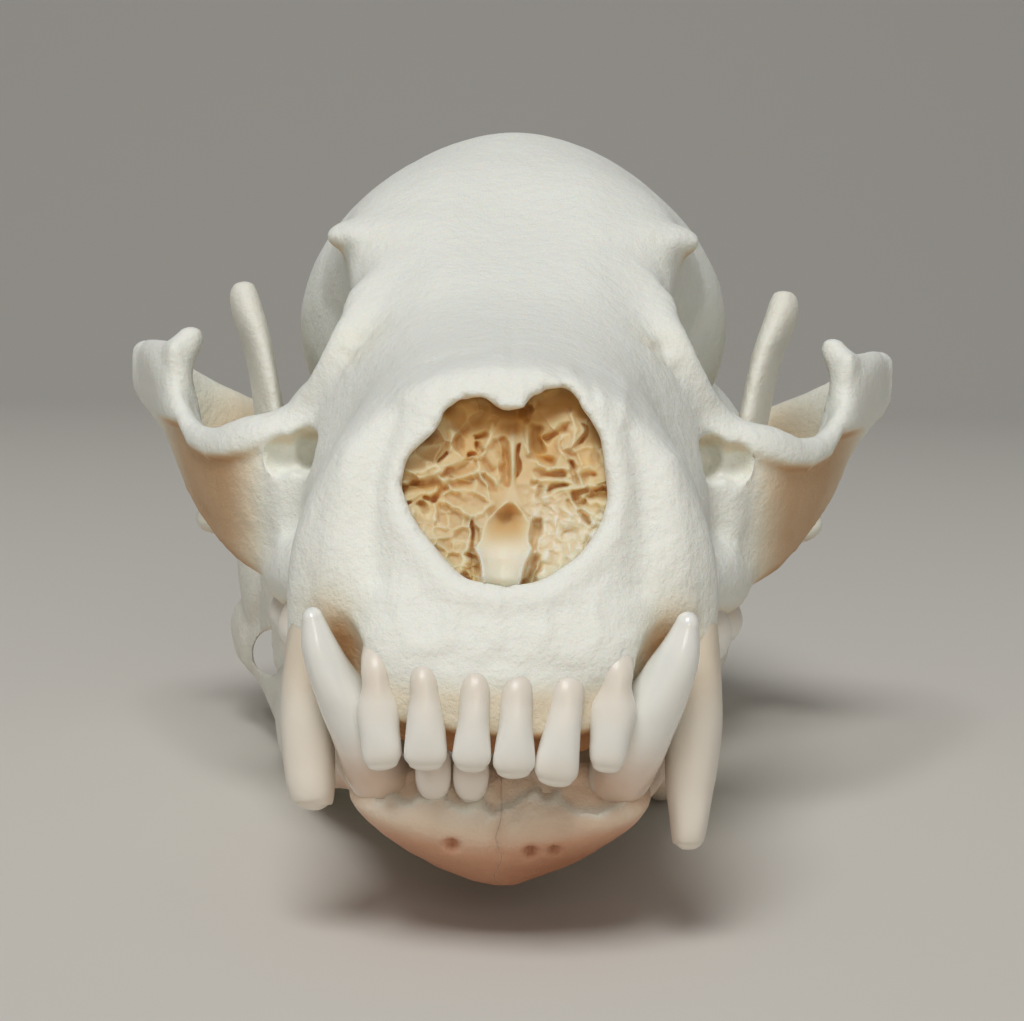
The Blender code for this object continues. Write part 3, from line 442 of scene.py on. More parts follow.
for pair in (
        # hollow of the canal in front of the eye, in two parts with a low ridge between them
        stroke([(19.2, 34.6, 11.5, 1.4, 1.8), (18.8, 36.4, 11.5, 1.3, 1.7), (18.6, 38.0, 11.4, 0.9, 1.4)]),
        stroke([(17.0, 34.2, 12.0, 1.9, 2.0), (16.6, 36.6, 11.9, 1.8, 1.9), (16.4, 39.2, 11.7, 1.3, 1.5)]),
        # hole of the ear, and the gap that takes the lower eye tooth
        stroke([(20.0, 91.4, 8.6, 1.7, 1.7), (30.0, 92.8, 10.6, 1.9, 1.9)], round_ends=False),
        stroke([(10.0, 4.0, -6.0, 3.0, 3.0), (11.2, 3.4, -1.0, 2.8, 2.8), (12.0, 2.8, 4.0, 1.5, 1.9)],
               up=(0, 1, 0), round_ends=False)):
    holes += twin(pair)
cut_away(cranium, [mesh_object(f"hole {i}", [grid]) for i, grid in enumerate(holes)])
grow_together(cranium, 0.36, 2)
p, n = points_of(cranium)
even_out(cranium, spot(one_side(p), (18.0, 37.0, 11.8), 3.5), 6)

# Upper front teeth: x at the top and at the edge, heights of both, half widths of neck, belly and edge, and y
UPPER_FRONT = [
    (-8.45, -7.80, 0.50, -6.50, 1.00, 1.42, 1.32, 1.4),
    (-5.00, -4.85, -0.10, -6.20, 1.02, 1.20, 1.44, 0.3),
    (-1.60, -1.85, -0.45, -6.15, 1.04, 1.02, 1.30, -0.2),
    (1.15, 0.95, -0.55, -6.50, 1.12, 1.12, 1.40, -0.2),
    (4.50, 3.70, -0.60, -7.10, 1.16, 1.20, 1.48, 0.3),
    (7.80, 7.15, 0.70, -6.40, 1.10, 1.58, 1.20, 1.4)]

# Height of the lower edge of the eye socket's rim: distance from the midline, and z
RIM_OVER_CHEEK = [
    (14.4, 19.4), (16.9, 15.6), (19.4, 14.0), (21.9, 12.8), (24.0, 12.2), (26.1, 12.0), (28.2, 12.6),
    (29.6, 14.4)]
TEAR_BONE = (12.2, 34.0, 21.0)

p, n = points_of(cranium)
mirrored = one_side(p)
side = mirrored[:, 0]
front = from_front(p)
on_front = between(p[:, 1], 16, 11)
push = 0.13 * noise(p, 7.0, 1) + 0.05 * noise(p, 2.4, 2)
# fine crust where gum and muscle held on: over the tooth rows, round the nose and under the eye
crust = np.maximum(between(p[:, 2], 7, 1) * between(p[:, 1], 40, 25),
                   0.8 * swell(near_path(mirrored, [(18, 34, 6), (22, 40, 4)]), 5))
push += (0.02 + 0.035 * crust) * noise(p, 0.9, 3) + 0.05 * crust * between(noise(p, 1.5, 4), 0.2, 0.9)
# lip of the nose opening, and the groove outside it
from_opening = near_path(front, nose_loop)
lower_lip = between(front[:, 1], 16.5, 12.5)
push += on_front * (0.30 * swell(from_opening - 0.9, 0.8) * lower_lip + 0.14 * swell(from_opening, 0.5))
for path, depth, width in (
        ([(-8.2, 16.6), (-9.2, 12.8), (-9.7, 8.5), (-9.3, 5.0)], -0.55, 1.1),
        ([(9.0, 15.6), (9.9, 12.0), (10.2, 8.0), (9.8, 4.6)], -0.50, 1.2),
        ([(-11.0, 13.5), (-12.0, 8.0), (-12.8, 3.0)], 0.35, 1.2),
        ([(11.6, 13.0), (12.5, 8.0), (13.0, 3.0)], 0.35, 1.2)):
    push += depth * swell(near_path(front, path), width) * on_front * (n[:, 1] < 0.3)
# seam between the nose bones, with its frayed front edge
top_side = between(n[:, 2], 0.2, 0.6)
push -= 0.16 * swell(p[:, 0] - 0.35 - 0.12 * noise(p, 2.0, 5), 0.3) * top_side * between(p[:, 1], 31, 24)
frayed = swell(from_opening - 0.8, 1.1) * between(front[:, 1], 15.5, 17.0) * on_front
push += 0.16 * frayed * noise(np.stack([p[:, 0], 0.25 * p[:, 1], 0.25 * p[:, 2]], axis=1), 0.55, 6)
# short crack over the right side of the nose
crack = curve_through([(-5.6, 20.0), (-4.3, 20.5), (-2.9, 20.6), (-1.5, 21.0)], 4)
push -= 0.20 * swell(near_path(front, crack), 0.28) * between(p[:, 1], 22, 18)
# seam from the eye socket down to the nose opening, and the step that it leaves in the opening's edge
side_seam = near_path(front, [(7.5, 14.6), (8.3, 16.5), (8.4, 19.5)])
push += 0.14 * swell(side_seam, 0.45) * between(p[:, 1], 24, 18)
# hollow in the side of the muzzle, the faint dip between the brows and the low swellings beside it
push -= 1.6 * spot(mirrored, (16.0, 25.0, 15.5), 6.5)
push -= 0.3 * spot(p, (0, 46, 31), 6.0, (0.6, 2.4, 1))
on_forehead = between(p[:, 1], 28, 40) * between(p[:, 1], 66, 52)
push += 0.3 * swell(side - 6.5, 2.6) * between(n[:, 2], 0.2, 0.7) * on_forehead
# rim of the eye socket like a cord, with the cheek sunk under it
under_rim = p[:, 2] - np.interp(side, *np.transpose(RIM_OVER_CHEEK))
cheek = between(side, 18.5, 21) * between(p[:, 1], 62, 50) * between(n[:, 1], 0.2, -0.3)
push -= 0.75 * cheek * between(under_rim, -0.6, -1.9) * between(p[:, 2], 1.0, 5.0)
push += 0.15 * cheek * swell(under_rim, 0.9)
# knobs on the outer edge of the arch, rough patches over the tear bone
push += 0.8 * spot(mirrored, (36.6, 72.5, 16.8), 2.0)
push += 0.5 * spot(mirrored, (36.9, 73.5, 13.2), 1.2)
push += 0.4 * spot(mirrored, (36.9, 71.5, 19.2), 1.4)
push += 0.28 * spot(mirrored, TEAR_BONE, 2.6) * noise(p, 0.9, 7)
# raised rims of the sockets round the front teeth
for x_top, x_edge, z_top, z_edge, neck, belly, edge, y in UPPER_FRONT:
    socket = np.linalg.norm((front - (x_top * 1.09 - 0.1, z_top + 2.0)) / (1, 1.2), axis=1)
    push += 0.10 * swell(socket - neck - 0.8, 0.45) * between(p[:, 1], 4, 2.5) * between(p[:, 2], -3.5, -1.0)
put_points(cranium, np.clip(p + n * push[:, None], LOW_CORNER, HIGH_CORNER))
thin_out(cranium, CRANIUM_TRIANGLES)

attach(cranium, "root")
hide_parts("braincase", "muzzle", "cheek_arch_left", "cheek_arch_right", "ear_capsule_left",
            "ear_capsule_right")


def colour(code):
    """Linear colour of an sRGB hex code: ((c + 0.055) / 1.055)^2.4 above 0.04045, else c / 12.92."""
    c = np.array([int(code[i:i + 2], 16) / 255 for i in (0, 2, 4)])
    return (*np.where(c > 0.04045, ((c + 0.055) / 1.055) ** 2.4, c / 12.92).tolist(), 1.0)


def add(tree, kind, links=(), inputs=(), **settings):
    """Adds a node with its settings and input values, and joins (output, input) pairs to it."""
    node = tree.nodes.new(kind)
    for key, value in settings.items():
        setattr(node, key, value)
    for key, value in dict(inputs).items():
        node.inputs[key].default_value = value
    for output, key in links:
        tree.links.new(output, node.inputs[key])
    return node


def new_material(name):
    made = bpy.data.materials.new(name)
    made.use_nodes = True
    made.node_tree.nodes.clear()
    return made, made.node_tree


def ramp(tree, fac, stops):
    """Colour by value: stops are (place, hex colour)."""
    node = add(tree, "ShaderNodeValToRGB", [(fac, "Fac")])
    while len(node.color_ramp.elements) < len(stops):
        node.color_ramp.elements.new(0.5)
    for element, (place, code) in zip(node.color_ramp.elements, stops):
        element.position = place
    for element, (place, code) in zip(node.color_ramp.elements, stops):
        element.color = colour(code)
    return node


def per_mm(size):
    """Pattern scale for a feature of that size in millimetres."""
    return 1 / (size * MM)


def blotched_warmth(tree, blotches, spread):
    """Place on the piece, and the warmth that is stored there, give or take half the spread in blotches."""
    place = add(tree, "ShaderNodeTexCoord").outputs["Object"]
    warmth = add(tree, "ShaderNodeAttribute", attribute_name="warmth").outputs["Fac"]
    blotch = add(tree, "ShaderNodeTexNoise", [(place, "Vector")], blotches)
    varied = add(tree, "ShaderNodeMath", [(blotch.outputs["Fac"], 0)], {1: spread, 2: -spread / 2},
                 operation="MULTIPLY_ADD")
    amount = add(tree, "ShaderNodeMath", [(warmth, 0), (varied.outputs[0], 1)], operation="ADD")
    return place, amount.outputs[0]


def bone_material(name, stops, roughness, relief, glow):
    """Bone coloured by its stored warmth, with blotches 6 mm wide, grain of 0.4 and 1.2 mm and a few dark
    specks. Relief is the strength of the grain, and glow how much light goes through."""
    made, tree = new_material(name)
    place, amount = blotched_warmth(tree, {"Scale": per_mm(6), "Detail": 4, "Roughness": 0.6}, 0.16)
    tone = ramp(tree, amount, stops)
    scattered = add(tree, "ShaderNodeTexVoronoi", [(place, "Vector")], {"Scale": per_mm(9)})
    speck = ramp(tree, scattered.outputs["Distance"], [(0.0, "6E6355"), (0.018, "6E6355"), (0.03, "FFFFFF")])
    marked = add(tree, "ShaderNodeMix", (), {"Factor": 1.0}, data_type="RGBA", blend_type="MULTIPLY")
    for key, output in (("A", tone.outputs[0]), ("B", speck.outputs[0])):
        tree.links.new(output, [s for s in marked.inputs if s.name == key and s.type == "RGBA"][0])
    mixed = [s for s in marked.outputs if s.type == "RGBA"][0]
    coarse = add(tree, "ShaderNodeTexNoise", [(place, "Vector")],
                 {"Scale": per_mm(1.2), "Detail": 4, "Roughness": 0.65})
    first = add(tree, "ShaderNodeBump", [(coarse.outputs["Fac"], "Height")],
                {"Strength": 0.8 * relief, "Distance": 0.0005})
    fine = add(tree, "ShaderNodeTexNoise", [(place, "Vector")],
               {"Scale": per_mm(0.4), "Detail": 3, "Roughness": 0.7})
    second = add(tree, "ShaderNodeBump", [(fine.outputs["Fac"], "Height"), (first.outputs[0], "Normal")],
                 {"Strength": 0.7 * relief, "Distance": 0.0002})
    shader = add(tree, "ShaderNodeBsdfPrincipled", [(mixed, "Base Color"), (second.outputs[0], "Normal")],
                 {"Roughness": roughness, "Subsurface Weight": glow, "Subsurface Radius": (1.0, 0.62, 0.4),
                  "Subsurface Scale": 0.0008 + 0.0022 * glow, "Specular IOR Level": 0.3})
    add(tree, "ShaderNodeOutputMaterial", [(shader.outputs[0], "Surface")])
    return made


def paint(obj, value, material):
    """Stores how warm each point is, 0 chalk white to 1 brown, its own tone together with any painted shade,
    and gives the piece its material.
    """
    layer = obj.data.attributes.new("warmth", "FLOAT", "POINT")
    layer.data.foreach_set("value", np.clip(value, 0, 1).astype(np.float32))
    obj.data.materials.clear()
    obj.data.materials.append(material)


BONE = bone_material("bleached bone, chalk white and matt", [
    (0.0, "F2F4EC"), (0.14, "EFEFE2"), (0.35, "E8DAC0"), (0.65, "CDA67B"), (1.0, "A87243")], 0.6, 0.55, 0.15)
p, n = points_of(cranium)
mirrored = one_side(p)
side = mirrored[:, 0]
from_opening = near_path(from_front(p), nose_loop)
under_rim = p[:, 2] - np.interp(side, *np.transpose(RIM_OVER_CHEEK))
# painted shade: faces that look down are browner
warmth = 0.35 * between(n[:, 2], -0.3, -0.9)
# painted shade on the face of the cheek under the rim, and in the hollow of the jaw joint
shade_under_eye_rim = between(side, 18.5, 24.5) * between(under_rim, -0.3, -1.6) * between(p[:, 1], 66, 48)
warmth += 0.62 * shade_under_eye_rim * between(n[:, 1], 0.3, -0.2) + 0.42 * spot(mirrored, (27, 81, 10), 6.5)
# painted shadow under the point of the brow, and the rough patch over the tear bone
warmth += 0.28 * spot(mirrored, (15.0, 51.6, 28.4), 1.7) * between(n[:, 2], 0.1, -0.4)
warmth += 0.2 * spot(mirrored, TEAR_BONE, 2.8) * (0.7 + 0.5 * noise(p, 0.9, 8))
# painted shade on the inside of the nose, whose opening slopes back
shade_inside_nose = between(p[:, 1] - 0.43 * (p[:, 2] - 4.8), 3.6, 5.0) * between(p[:, 1], 26, 25)
warmth += 0.75 * shade_inside_nose * between(from_opening, 0.9, 0.4)
# painted shade in the gap beside the lower eye tooth, on the bone between the front teeth, and below it where
# it shows between the crowns
warmth += 0.78 * spot(mirrored, (11.2, 6.0, 0.6), 2.4, (1, 1.1, 1.5))
shade_between_teeth = between(p[:, 2], -3.6, -4.8) + 0.55 * between(p[:, 2], 0.2, -1.8)
warmth += 0.55 * shade_between_teeth * between(p[:, 1], 6, 3.5) * between(side, 10, 9)
paint(cranium, warmth, BONE)


# Scrolls inside the nose
# Paper-thin leaves of bone that branch and curl on both sides of a thin middle wall with a broad foot.
# Their colours are painted light and shade: cream on their edges, tan on their sides and orange brown in the
# gaps behind them, for the light that comes through them and the shade in the hollows.

COLUMNS, LEVELS = 306, 300
DEEPEST = 27.0

# Hollows between the leaves as seen from the front: x and z of both ends, half width, depth
HOLLOWS = [
    (-7.3, 11.2, -5.1, 11.5, 0.45, 1.8), (-4.8, 11.5, -4.5, 10.9, 0.32, 2.2),
    (-4.5, 10.9, -5.0, 10.15, 0.32, 2.2), (-5.0, 10.15, -5.6, 10.4, 0.22, 2.0),
    (-4.0, 12.0, -2.2, 13.1, 0.40, 1.5), (-4.7, 13.0, -4.3, 13.5, 0.22, 1.4),
    (-2.5, 13.6, -1.9, 13.8, 0.18, 1.3), (-1.9, 14.9, -1.4, 15.0, 0.24, 1.5),
    (-1.9, 14.4, -1.6, 13.95, 0.22, 1.3), (-4.0, 11.3, -2.6, 11.7, 0.38, 1.0),
    (-1.5, 13.3, -0.8, 12.6, 0.30, 0.9), (-1.3, 12.2, -0.75, 11.1, 0.28, 0.8),
    (-2.0, 12.0, -1.1, 11.0, 0.24, 0.6), (-0.3, 14.7, 0.05, 11.8, 0.28, 2.6),
    (1.0, 14.4, 0.8, 12.2, 0.16, 2.2), (-0.75, 14.5, -0.35, 13.6, 0.24, 1.0),
    (-5.9, 9.9, -5.7, 9.4, 0.22, 1.3), (-7.1, 9.7, -6.6, 10.0, 0.15, 1.2),
    (-4.0, 10.4, -1.6, 10.05, 0.42, 0.5), (-4.4, 9.3, -4.2, 9.1, 0.50, 0.5),
    (-3.2, 9.2, -2.9, 8.85, 0.48, 0.5), (-5.9, 8.7, -5.4, 8.5, 0.42, 0.5), (-4.5, 7.9, -3.3, 7.8, 0.50, 0.4),
    (-4.7, 6.6, -3.6, 6.5, 0.50, 0.4), (-3.2, 14.8, -3.2, 14.1, 0.34, 0.9),
    (-3.9, 16.5, -3.0, 15.6, 0.60, 1.2), (-2.0, 16.9, -2.2, 16.1, 0.70, 0.9),
    (-2.45, 8.7, -2.3, 6.7, 0.22, 1.5), (-2.3, 6.3, -2.05, 4.4, 0.36, 2.2), (-2.6, 4.8, -2.2, 4.5, 0.34, 1.8),
    (2.0, 15.6, 2.4, 14.1, 0.36, 1.8), (2.8, 15.1, 3.8, 15.5, 0.28, 1.4), (2.2, 13.7, 3.2, 13.35, 0.30, 1.4),
    (2.6, 12.5, 4.0, 12.4, 0.38, 1.2), (4.7, 13.2, 5.05, 11.9, 0.24, 1.1), (5.5, 15.6, 5.4, 14.6, 0.18, 1.0),
    (5.6, 12.05, 6.15, 12.35, 0.22, 1.1), (5.65, 11.25, 5.1, 10.9, 0.26, 2.2),
    (5.1, 10.9, 5.35, 10.25, 0.28, 2.2), (5.35, 10.25, 5.8, 10.4, 0.20, 1.8),
    (6.2, 10.9, 7.4, 10.9, 0.38, 1.8), (3.4, 11.4, 4.4, 11.4, 0.26, 1.1), (2.6, 11.3, 2.3, 10.6, 0.30, 0.8),
    (1.8, 11.7, 2.2, 11.8, 0.24, 0.6), (4.7, 10.3, 4.9, 9.7, 0.20, 0.9), (5.6, 9.7, 5.9, 8.9, 0.20, 1.1),
    (4.7, 7.9, 4.85, 7.85, 0.32, 0.7), (2.1, 8.6, 2.2, 6.8, 0.28, 1.5), (2.3, 6.0, 1.7, 4.3, 0.40, 2.2),
    (2.7, 5.5, 2.2, 4.6, 0.34, 1.6), (1.7, 16.8, 1.4, 16.4, 0.36, 1.4), (2.7, 17.3, 3.9, 17.6, 0.70, 0.9),
    (6.6, 14.0, 6.5, 13.2, 0.30, 0.5), (6.7, 9.7, 7.2, 9.5, 0.25, 0.6)]

# Raised edges of the main leaves, also painted lighter as a highlight: x and z along each
EDGES = [
    [(-1.0, 15.7), (-1.3, 14.2), (-1.8, 12.5), (-3.0, 12.05), (-4.2, 11.6)],
    [(-1.8, 12.5), (-1.0, 10.9), (-0.9, 10.0)], [(-1.5, 12.5), (-0.45, 11.6)],
    [(-4.2, 10.9), (-2.2, 11.0), (-1.3, 10.5), (-1.0, 9.9), (-1.5, 9.3), (-2.45, 9.2)],
    [(-4.5, 10.0), (-3.2, 9.9), (-2.45, 9.1)], [(-5.0, 9.7), (-5.0, 9.0), (-4.1, 8.4)],
    [(-7.5, 11.7), (-6.2, 11.85), (-5.1, 12.0), (-4.6, 12.4)], [(-6.8, 12.2), (-5.2, 12.7), (-4.7, 12.5)],
    [(-3.7, 15.7), (-4.0, 13.9), (-5.0, 12.8)], [(-2.0, 13.35), (-3.0, 12.9), (-4.4, 12.3)],
    [(-2.6, 9.1), (-2.65, 7.8), (-2.9, 5.8)], [(2.7, 10.6), (4.4, 11.0), (5.3, 11.6), (7.4, 11.5)],
    [(5.3, 11.6), (5.3, 13.0), (3.9, 14.2), (3.8, 15.2)],
    [(1.4, 15.7), (1.8, 14.2), (2.4, 13.0), (4.4, 12.9)], [(2.0, 12.05), (4.1, 11.95), (5.2, 11.6)],
    [(5.0, 9.9), (4.6, 8.9)], [(5.0, 9.9), (6.0, 9.8), (6.15, 9.3)], [(6.2, 10.4), (7.4, 10.4)],
    [(4.5, 16.6), (4.6, 15.0), (5.0, 14.0)], [(2.0, 9.2), (2.5, 8.0), (2.6, 6.6)]]

x12, z12 = np.meshgrid(np.linspace(-8.3, 8.1, COLUMNS), np.linspace(3.2, 19.1, LEVELS))
flat = np.stack([x12.ravel(), z12.ravel()], axis=1)
x, z = flat.T
waved = np.stack([x, 0 * x, z], axis=1)
shift = np.stack([noise(waved, 1.4, 11), noise(waved, 1.4, 12)], axis=1)
fine_shift = np.stack([noise(waved, 0.5, 13), noise(waved, 0.5, 14)], axis=1)


def cells(q, seed):
    """For jittered lattice points: second minus first distance, and a random value of the nearest one."""
    corner = np.floor(q).astype(np.int64)
    first, second, owner = np.full(len(q), 1e9), np.full(len(q), 1e9), np.zeros(len(q))
    for step in np.ndindex(3, 3):
        c = corner + np.array(step) - 1
        h = (c @ np.array([73856093, 19349663])) ^ seed * 83492791
        h = (h ^ (h >> 13)) * 1274126177 & 0x7FFFFFFF
        offset = q - c - 0.15 - 0.7 * np.stack([h % 1009 / 1008, h // 1009 % 1009 / 1008], axis=1)
        d = np.linalg.norm(offset, axis=1)
        nearer = d < first
        second = np.where(nearer, first, np.minimum(second, d))
        owner = np.where(nearer, h // 1000003 % 997 / 996, owner)
        first = np.minimum(first, d)
    return second - first, owner


low = between(z, 10.2, 8.8)
crumbly = between(x, 0.9, 2.4) * between(z + 0.35 * x, 13.0, 11.2)
roof = between(z - 0.25 * np.abs(x - 0.3) + 0.7 * shift[:, 0], 14.4, 16.2)
# cells between leaves that fan out from the stem of each side, and round ones lower down
stem = np.where(x[:, None] < 0.4, (-4.9, 11.8), (5.3, 11.5))
arm = flat + 0.30 * shift + 0.06 * fine_shift - stem
from_stem = np.linalg.norm(arm, axis=1)
round_stem = np.arctan2(arm[:, 1], arm[:, 0] * np.sign(0.4 - x))
fan = np.stack([1.5 * np.log(from_stem + 0.9), 1.8 * round_stem + 40], axis=1)
fan_gap, fan_value = cells(fan, 3)
leaf = (1 - 0.5 * swell(fan_gap, 0.2)) * (0.15 + 1.05 * fan_value) * between(from_stem, 0.5, 1.6)
round_gap, round_value = cells((flat + 0.22 * shift + 0.10 * fine_shift) * 1.05, 5)
bowl = (1 - 0.55 * swell(round_gap, 0.26)) * (0.15 + 0.9 * round_value)
tiny_gap, tiny_value = cells((flat + 0.12 * shift + 0.15 * fine_shift) * 1.2, 7)
hollowed = leaf * (1 - low) * (1 - crumbly) * (1 - 0.4 * roof)
hollowed += bowl * np.maximum(low * (1 - 0.5 * crumbly), 0.4 * crumbly)
# the crumbly part is of rounded lumps with cracks between them
lump = between(tiny_gap, 0.0, 0.8) * (0.3 + 0.7 * tiny_value) + 0.15 * noise(waved, 0.45, 48)
depth = 1.1 + 0.30 * noise(waved, 2.4, 41) + 0.05 * noise(waved, 0.7, 42)
depth += 0.62 * hollowed - 0.34 * lump * crumbly
depth += roof * (0.2 + 0.4 * noise(waved, 2.6, 43))
warped = flat + 0.28 * shift + 0.14 * fine_shift
uneven = 1 + 0.35 * noise(waved, 1.1, 49)
pocket = np.zeros(len(flat))
for x1, z1, x2, z2, half, deep in HOLLOWS:
    reached = near_path(warped, [(x1, z1), (x2, z2)]) / (half * uneven)
    pocket = np.maximum(pocket, min(0.5 * deep, 0.85) * between(reached, 1.6, 0.2))
edge = np.zeros(len(flat))
for path in EDGES:
    edge = np.maximum(edge, swell(near_path(warped, path), 0.2))
depth += pocket * (1 + 0.3 * noise(waved, 0.9, 46)) - 0.28 * edge * between(pocket, 0.7, 0.1)
# knob at a bend in one of the main leaves, on the left
depth -= 0.5 * spot(flat, (5.65, 13.1), 0.55)
# thin middle wall, spreading into a triangle above its foot, and the rough mass that roofs it
wide = 0.9 * np.clip((12.2 - z) / 2.2, 0, 1) ** 2
triangle = (between(np.abs(x - 0.42 - 0.15 * shift[:, 1]), 0.30 + wide, 0.04 + 0.5 * wide)
            * between(z, 15.8, 14.6) * between(z, 9.6, 10.2))
depth = depth * (1 - triangle) + (1.3 - 0.8 * between(z, 11.0, 13.0) + 0.6 * between(z, 13.5, 15)) * triangle
mass = spot(flat, (0.55, 15.8), 1.0, (1.05, 0.8))
depth = depth * (1 - mass) + (1.2 + 0.5 * noise(waved, 0.6, 44)) * mass
# trumpet-shaped hollow, and the pale foot with flared lips in front of it
half_foot = np.interp(z, (3.4, 4.4, 5.9, 6.6, 6.95, 7.4, 8.7, 9.2, 9.6, 10.3),
                      (1.25, 1.3, 1.65, 1.95, 2.05, 1.75, 1.65, 1.35, 0.95, 0.25))
half_foot += 0.08 * noise(waved, 0.8, 47)
foot_x = np.interp(z, (4.2, 6.8, 10.3), (-0.15, -0.05, 0.4))
in_foot = between(np.abs(x - foot_x), half_foot + 0.13, half_foot - 0.13) * between(z, 10.4, 9.9)
across = (x - foot_x) / half_foot
foot_depth = np.interp(z, (3.4, 5.0, 6.2, 7.2, 8.0, 8.8, 9.4, 10.3), (0.2, 0.0, 0.2, 0.7, 1.2, 1.7, 1.9, 1.3))
foot_depth += 0.9 * between(z, 4.9, 4.0) - 0.7 * across**2 + 0.9 * spot(flat, (0.2, 9.0), 1.0, (0.6, 0.8))
foot_depth += 0.18 * noise(waved, 1.2, 45) - 0.25 * swell(np.abs(across) - 0.9, 0.2) * between(z, 7.2, 6.4)
foot_depth += 0.4 * spot(flat, (-0.1, 5.4), 1.0, (0.8, 1.0))
depth = depth * (1 - in_foot) + foot_depth * in_foot
# outside the opening the sheet runs back into the solid bone
bearing = np.arctan2(z - nose_middle[1], x - nose_middle[0])
edge_bearing = np.arctan2(*(nose_edge - nose_middle).T[::-1])
order = np.argsort(edge_bearing)
edge_reach = np.linalg.norm(nose_edge - nose_middle, axis=1)
outside = np.linalg.norm(flat - nose_middle, axis=1) - np.interp(
    bearing, edge_bearing[order], edge_reach[order], period=2 * np.pi)
surface = 2.9 + 0.46 * (z - 4.8) + depth + 12 * between(outside, 0.5, 2.6)
share = (surface - EYE[1]) / (OUTLINE_DEPTH - EYE[1])
sheet = np.stack([EYE[0] + (x - EYE[0]) * share, surface, EYE[2] + (z - EYE[2]) * share], axis=1)
sheet = sheet.reshape(LEVELS, COLUMNS, 3)
back = sheet[:, ::-18].copy()
back[..., 1] = DEEPEST
scrolls = mesh_object("scrolls_in_the_nose", [np.concatenate([sheet, back], axis=1)])
scrolls.data.polygons.foreach_set("use_smooth", np.ones(len(scrolls.data.polygons), bool))
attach(scrolls, "root")
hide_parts("nose_scrolls")

# painted light and shade: darker in the pockets and hollows, under the roof and its rough mass and in the
# foot's cup, lighter low down, on the leaf edges and on the crumbly part's lumps
tan = 0.44 - 0.10 * low - (0.12 + 0.24 * lump) * crumbly + 0.28 * roof + 0.26 * mass + 0.18 * hollowed
tan += 0.32 * between(pocket, 0.1, 0.9) * (0.8 + 0.3 * noise(waved, 0.8, 50)) - 0.10 * edge
tan = tan * (1 - triangle) + 0.36 * triangle
tan = tan * (1 - in_foot) + (0.04 + 0.6 * between(z, 6.4, 8.6) * between(np.abs(across), 1.6, 0.3)) * in_foot
# the walls that run back behind the sheet, in painted shade
warmth = np.full(len(scrolls.data.vertices), 0.8)
warmth[:LEVELS * (COLUMNS + back.shape[1])] = np.concatenate(
    [tan.reshape(LEVELS, COLUMNS), np.full(back.shape[:2], 0.8)], axis=1).ravel()
THIN_BONE = bone_material("thin bone of the nose, cream to orange brown", [
    (0.0, "F1EAD8"), (0.2, "EADDC0"), (0.45, "DEC79C"), (0.75, "DAAF6E"), (1.0, "C48E4A")], 0.55, 0.15, 0.7)
paint(scrolls, warmth, THIN_BONE)


# Upper teeth
# Six front teeth, two eye teeth, and six cheek teeth a side, set in the edge of the upper jaw by their roots.
# The front teeth are ivory and half matt. The eye teeth are dull cream, and the right one is worn shorter.

# Cheek teeth of the left side, from the front: x, y, z of the tip, half width and half length
UPPER_CHEEK = [
    (12.4, 16.2, -3.4, 1.1, 1.4), (12.6, 20.6, -4.2, 1.4, 2.0), (13.2, 25.8, -4.4, 1.8, 2.5),
    (14.8, 32.6, -4.3, 3.7, 3.6), (16.0, 40.6, -4.2, 4.2, 3.8), (15.6, 48.0, -4.0, 3.8, 3.0)]


def front_tooth(x_top, x_edge, z_top, z_edge, neck, belly, edge, y):
    """A chisel tooth on a round root: it swells from neck to flat edge, and leans back into its socket."""
    down = np.array([-0.30, -0.06, 0.03, 0.12, 0.25, 0.45, 0.70, 0.90, 0.99])
    half = np.array([
        0.8 * neck, 0.9 * neck, 0.97 * neck, neck, neck, belly, 0.35 * belly + 0.65 * edge, edge, 0.8 * edge])
    deep = np.array([0.6, 0.8, 1.0, 1.1, 1.2, 1.3, 1.15, 0.8, 0.5])
    back = np.array([3.2, 1.7, 0.95, 0.5, 0.32, 0.2, 0.1, 0.0, 0.05])
    x = x_top + (x_edge - x_top) * np.clip(down, 0, 1)
    rows = np.stack([x, y + back, z_top + (z_edge - z_top) * down, half, deep], axis=1)
    return stroke(rows, up=(0, 1, 0), steps=5, sides=36, power=2.35)


def cheek_tooth(x, y, tip, half_width, half_length, neck, grow):
    """A broad crown round a hollow. Its rim gains 0.5 cos^2(2a + 0.8) - 0.3: four blunt points."""
    belly = neck + grow * 1.6
    outline = [
        (neck - grow * 1.8, 0.6, 0.65), (neck, 0.88, 0.85), (belly, 1, 1), (tip - grow * 0.7, 0.86, 0.9),
        (tip - grow * 0.25, 0.6, 0.62), (tip - grow * 0.6, 0.25, 0.25)]
    grid = stroke([(x, y, z, half_width * wide, half_length * long) for z, wide, long in outline],
                  up=(0, 1, 0), steps=4, sides=40, round_ends=False)
    angle = np.arctan2((grid[..., 1] - y) / half_length, (grid[..., 0] - x) / half_width)
    high = between((grid[..., 2] - belly) * grow, 0.0, (tip - belly) * grow)
    grid[..., 2] += grow * high * (0.5 * np.cos(2 * angle + 0.8) ** 2 - 0.3)
    return grid


def grooved(obj, ridge, seed):
    """Fine ridges along the teeth and a slight unevenness."""
    p, n = points_of(obj)
    along = np.stack([p[:, 0], p[:, 1], 0.15 * p[:, 2]], axis=1)
    put_points(obj, p + n * (ridge * noise(along, 0.9, seed) + 0.04 * noise(p, 1.8, seed + 1))[:, None])
    obj.data.polygons.foreach_set("use_smooth", np.ones(len(obj.data.polygons), bool))


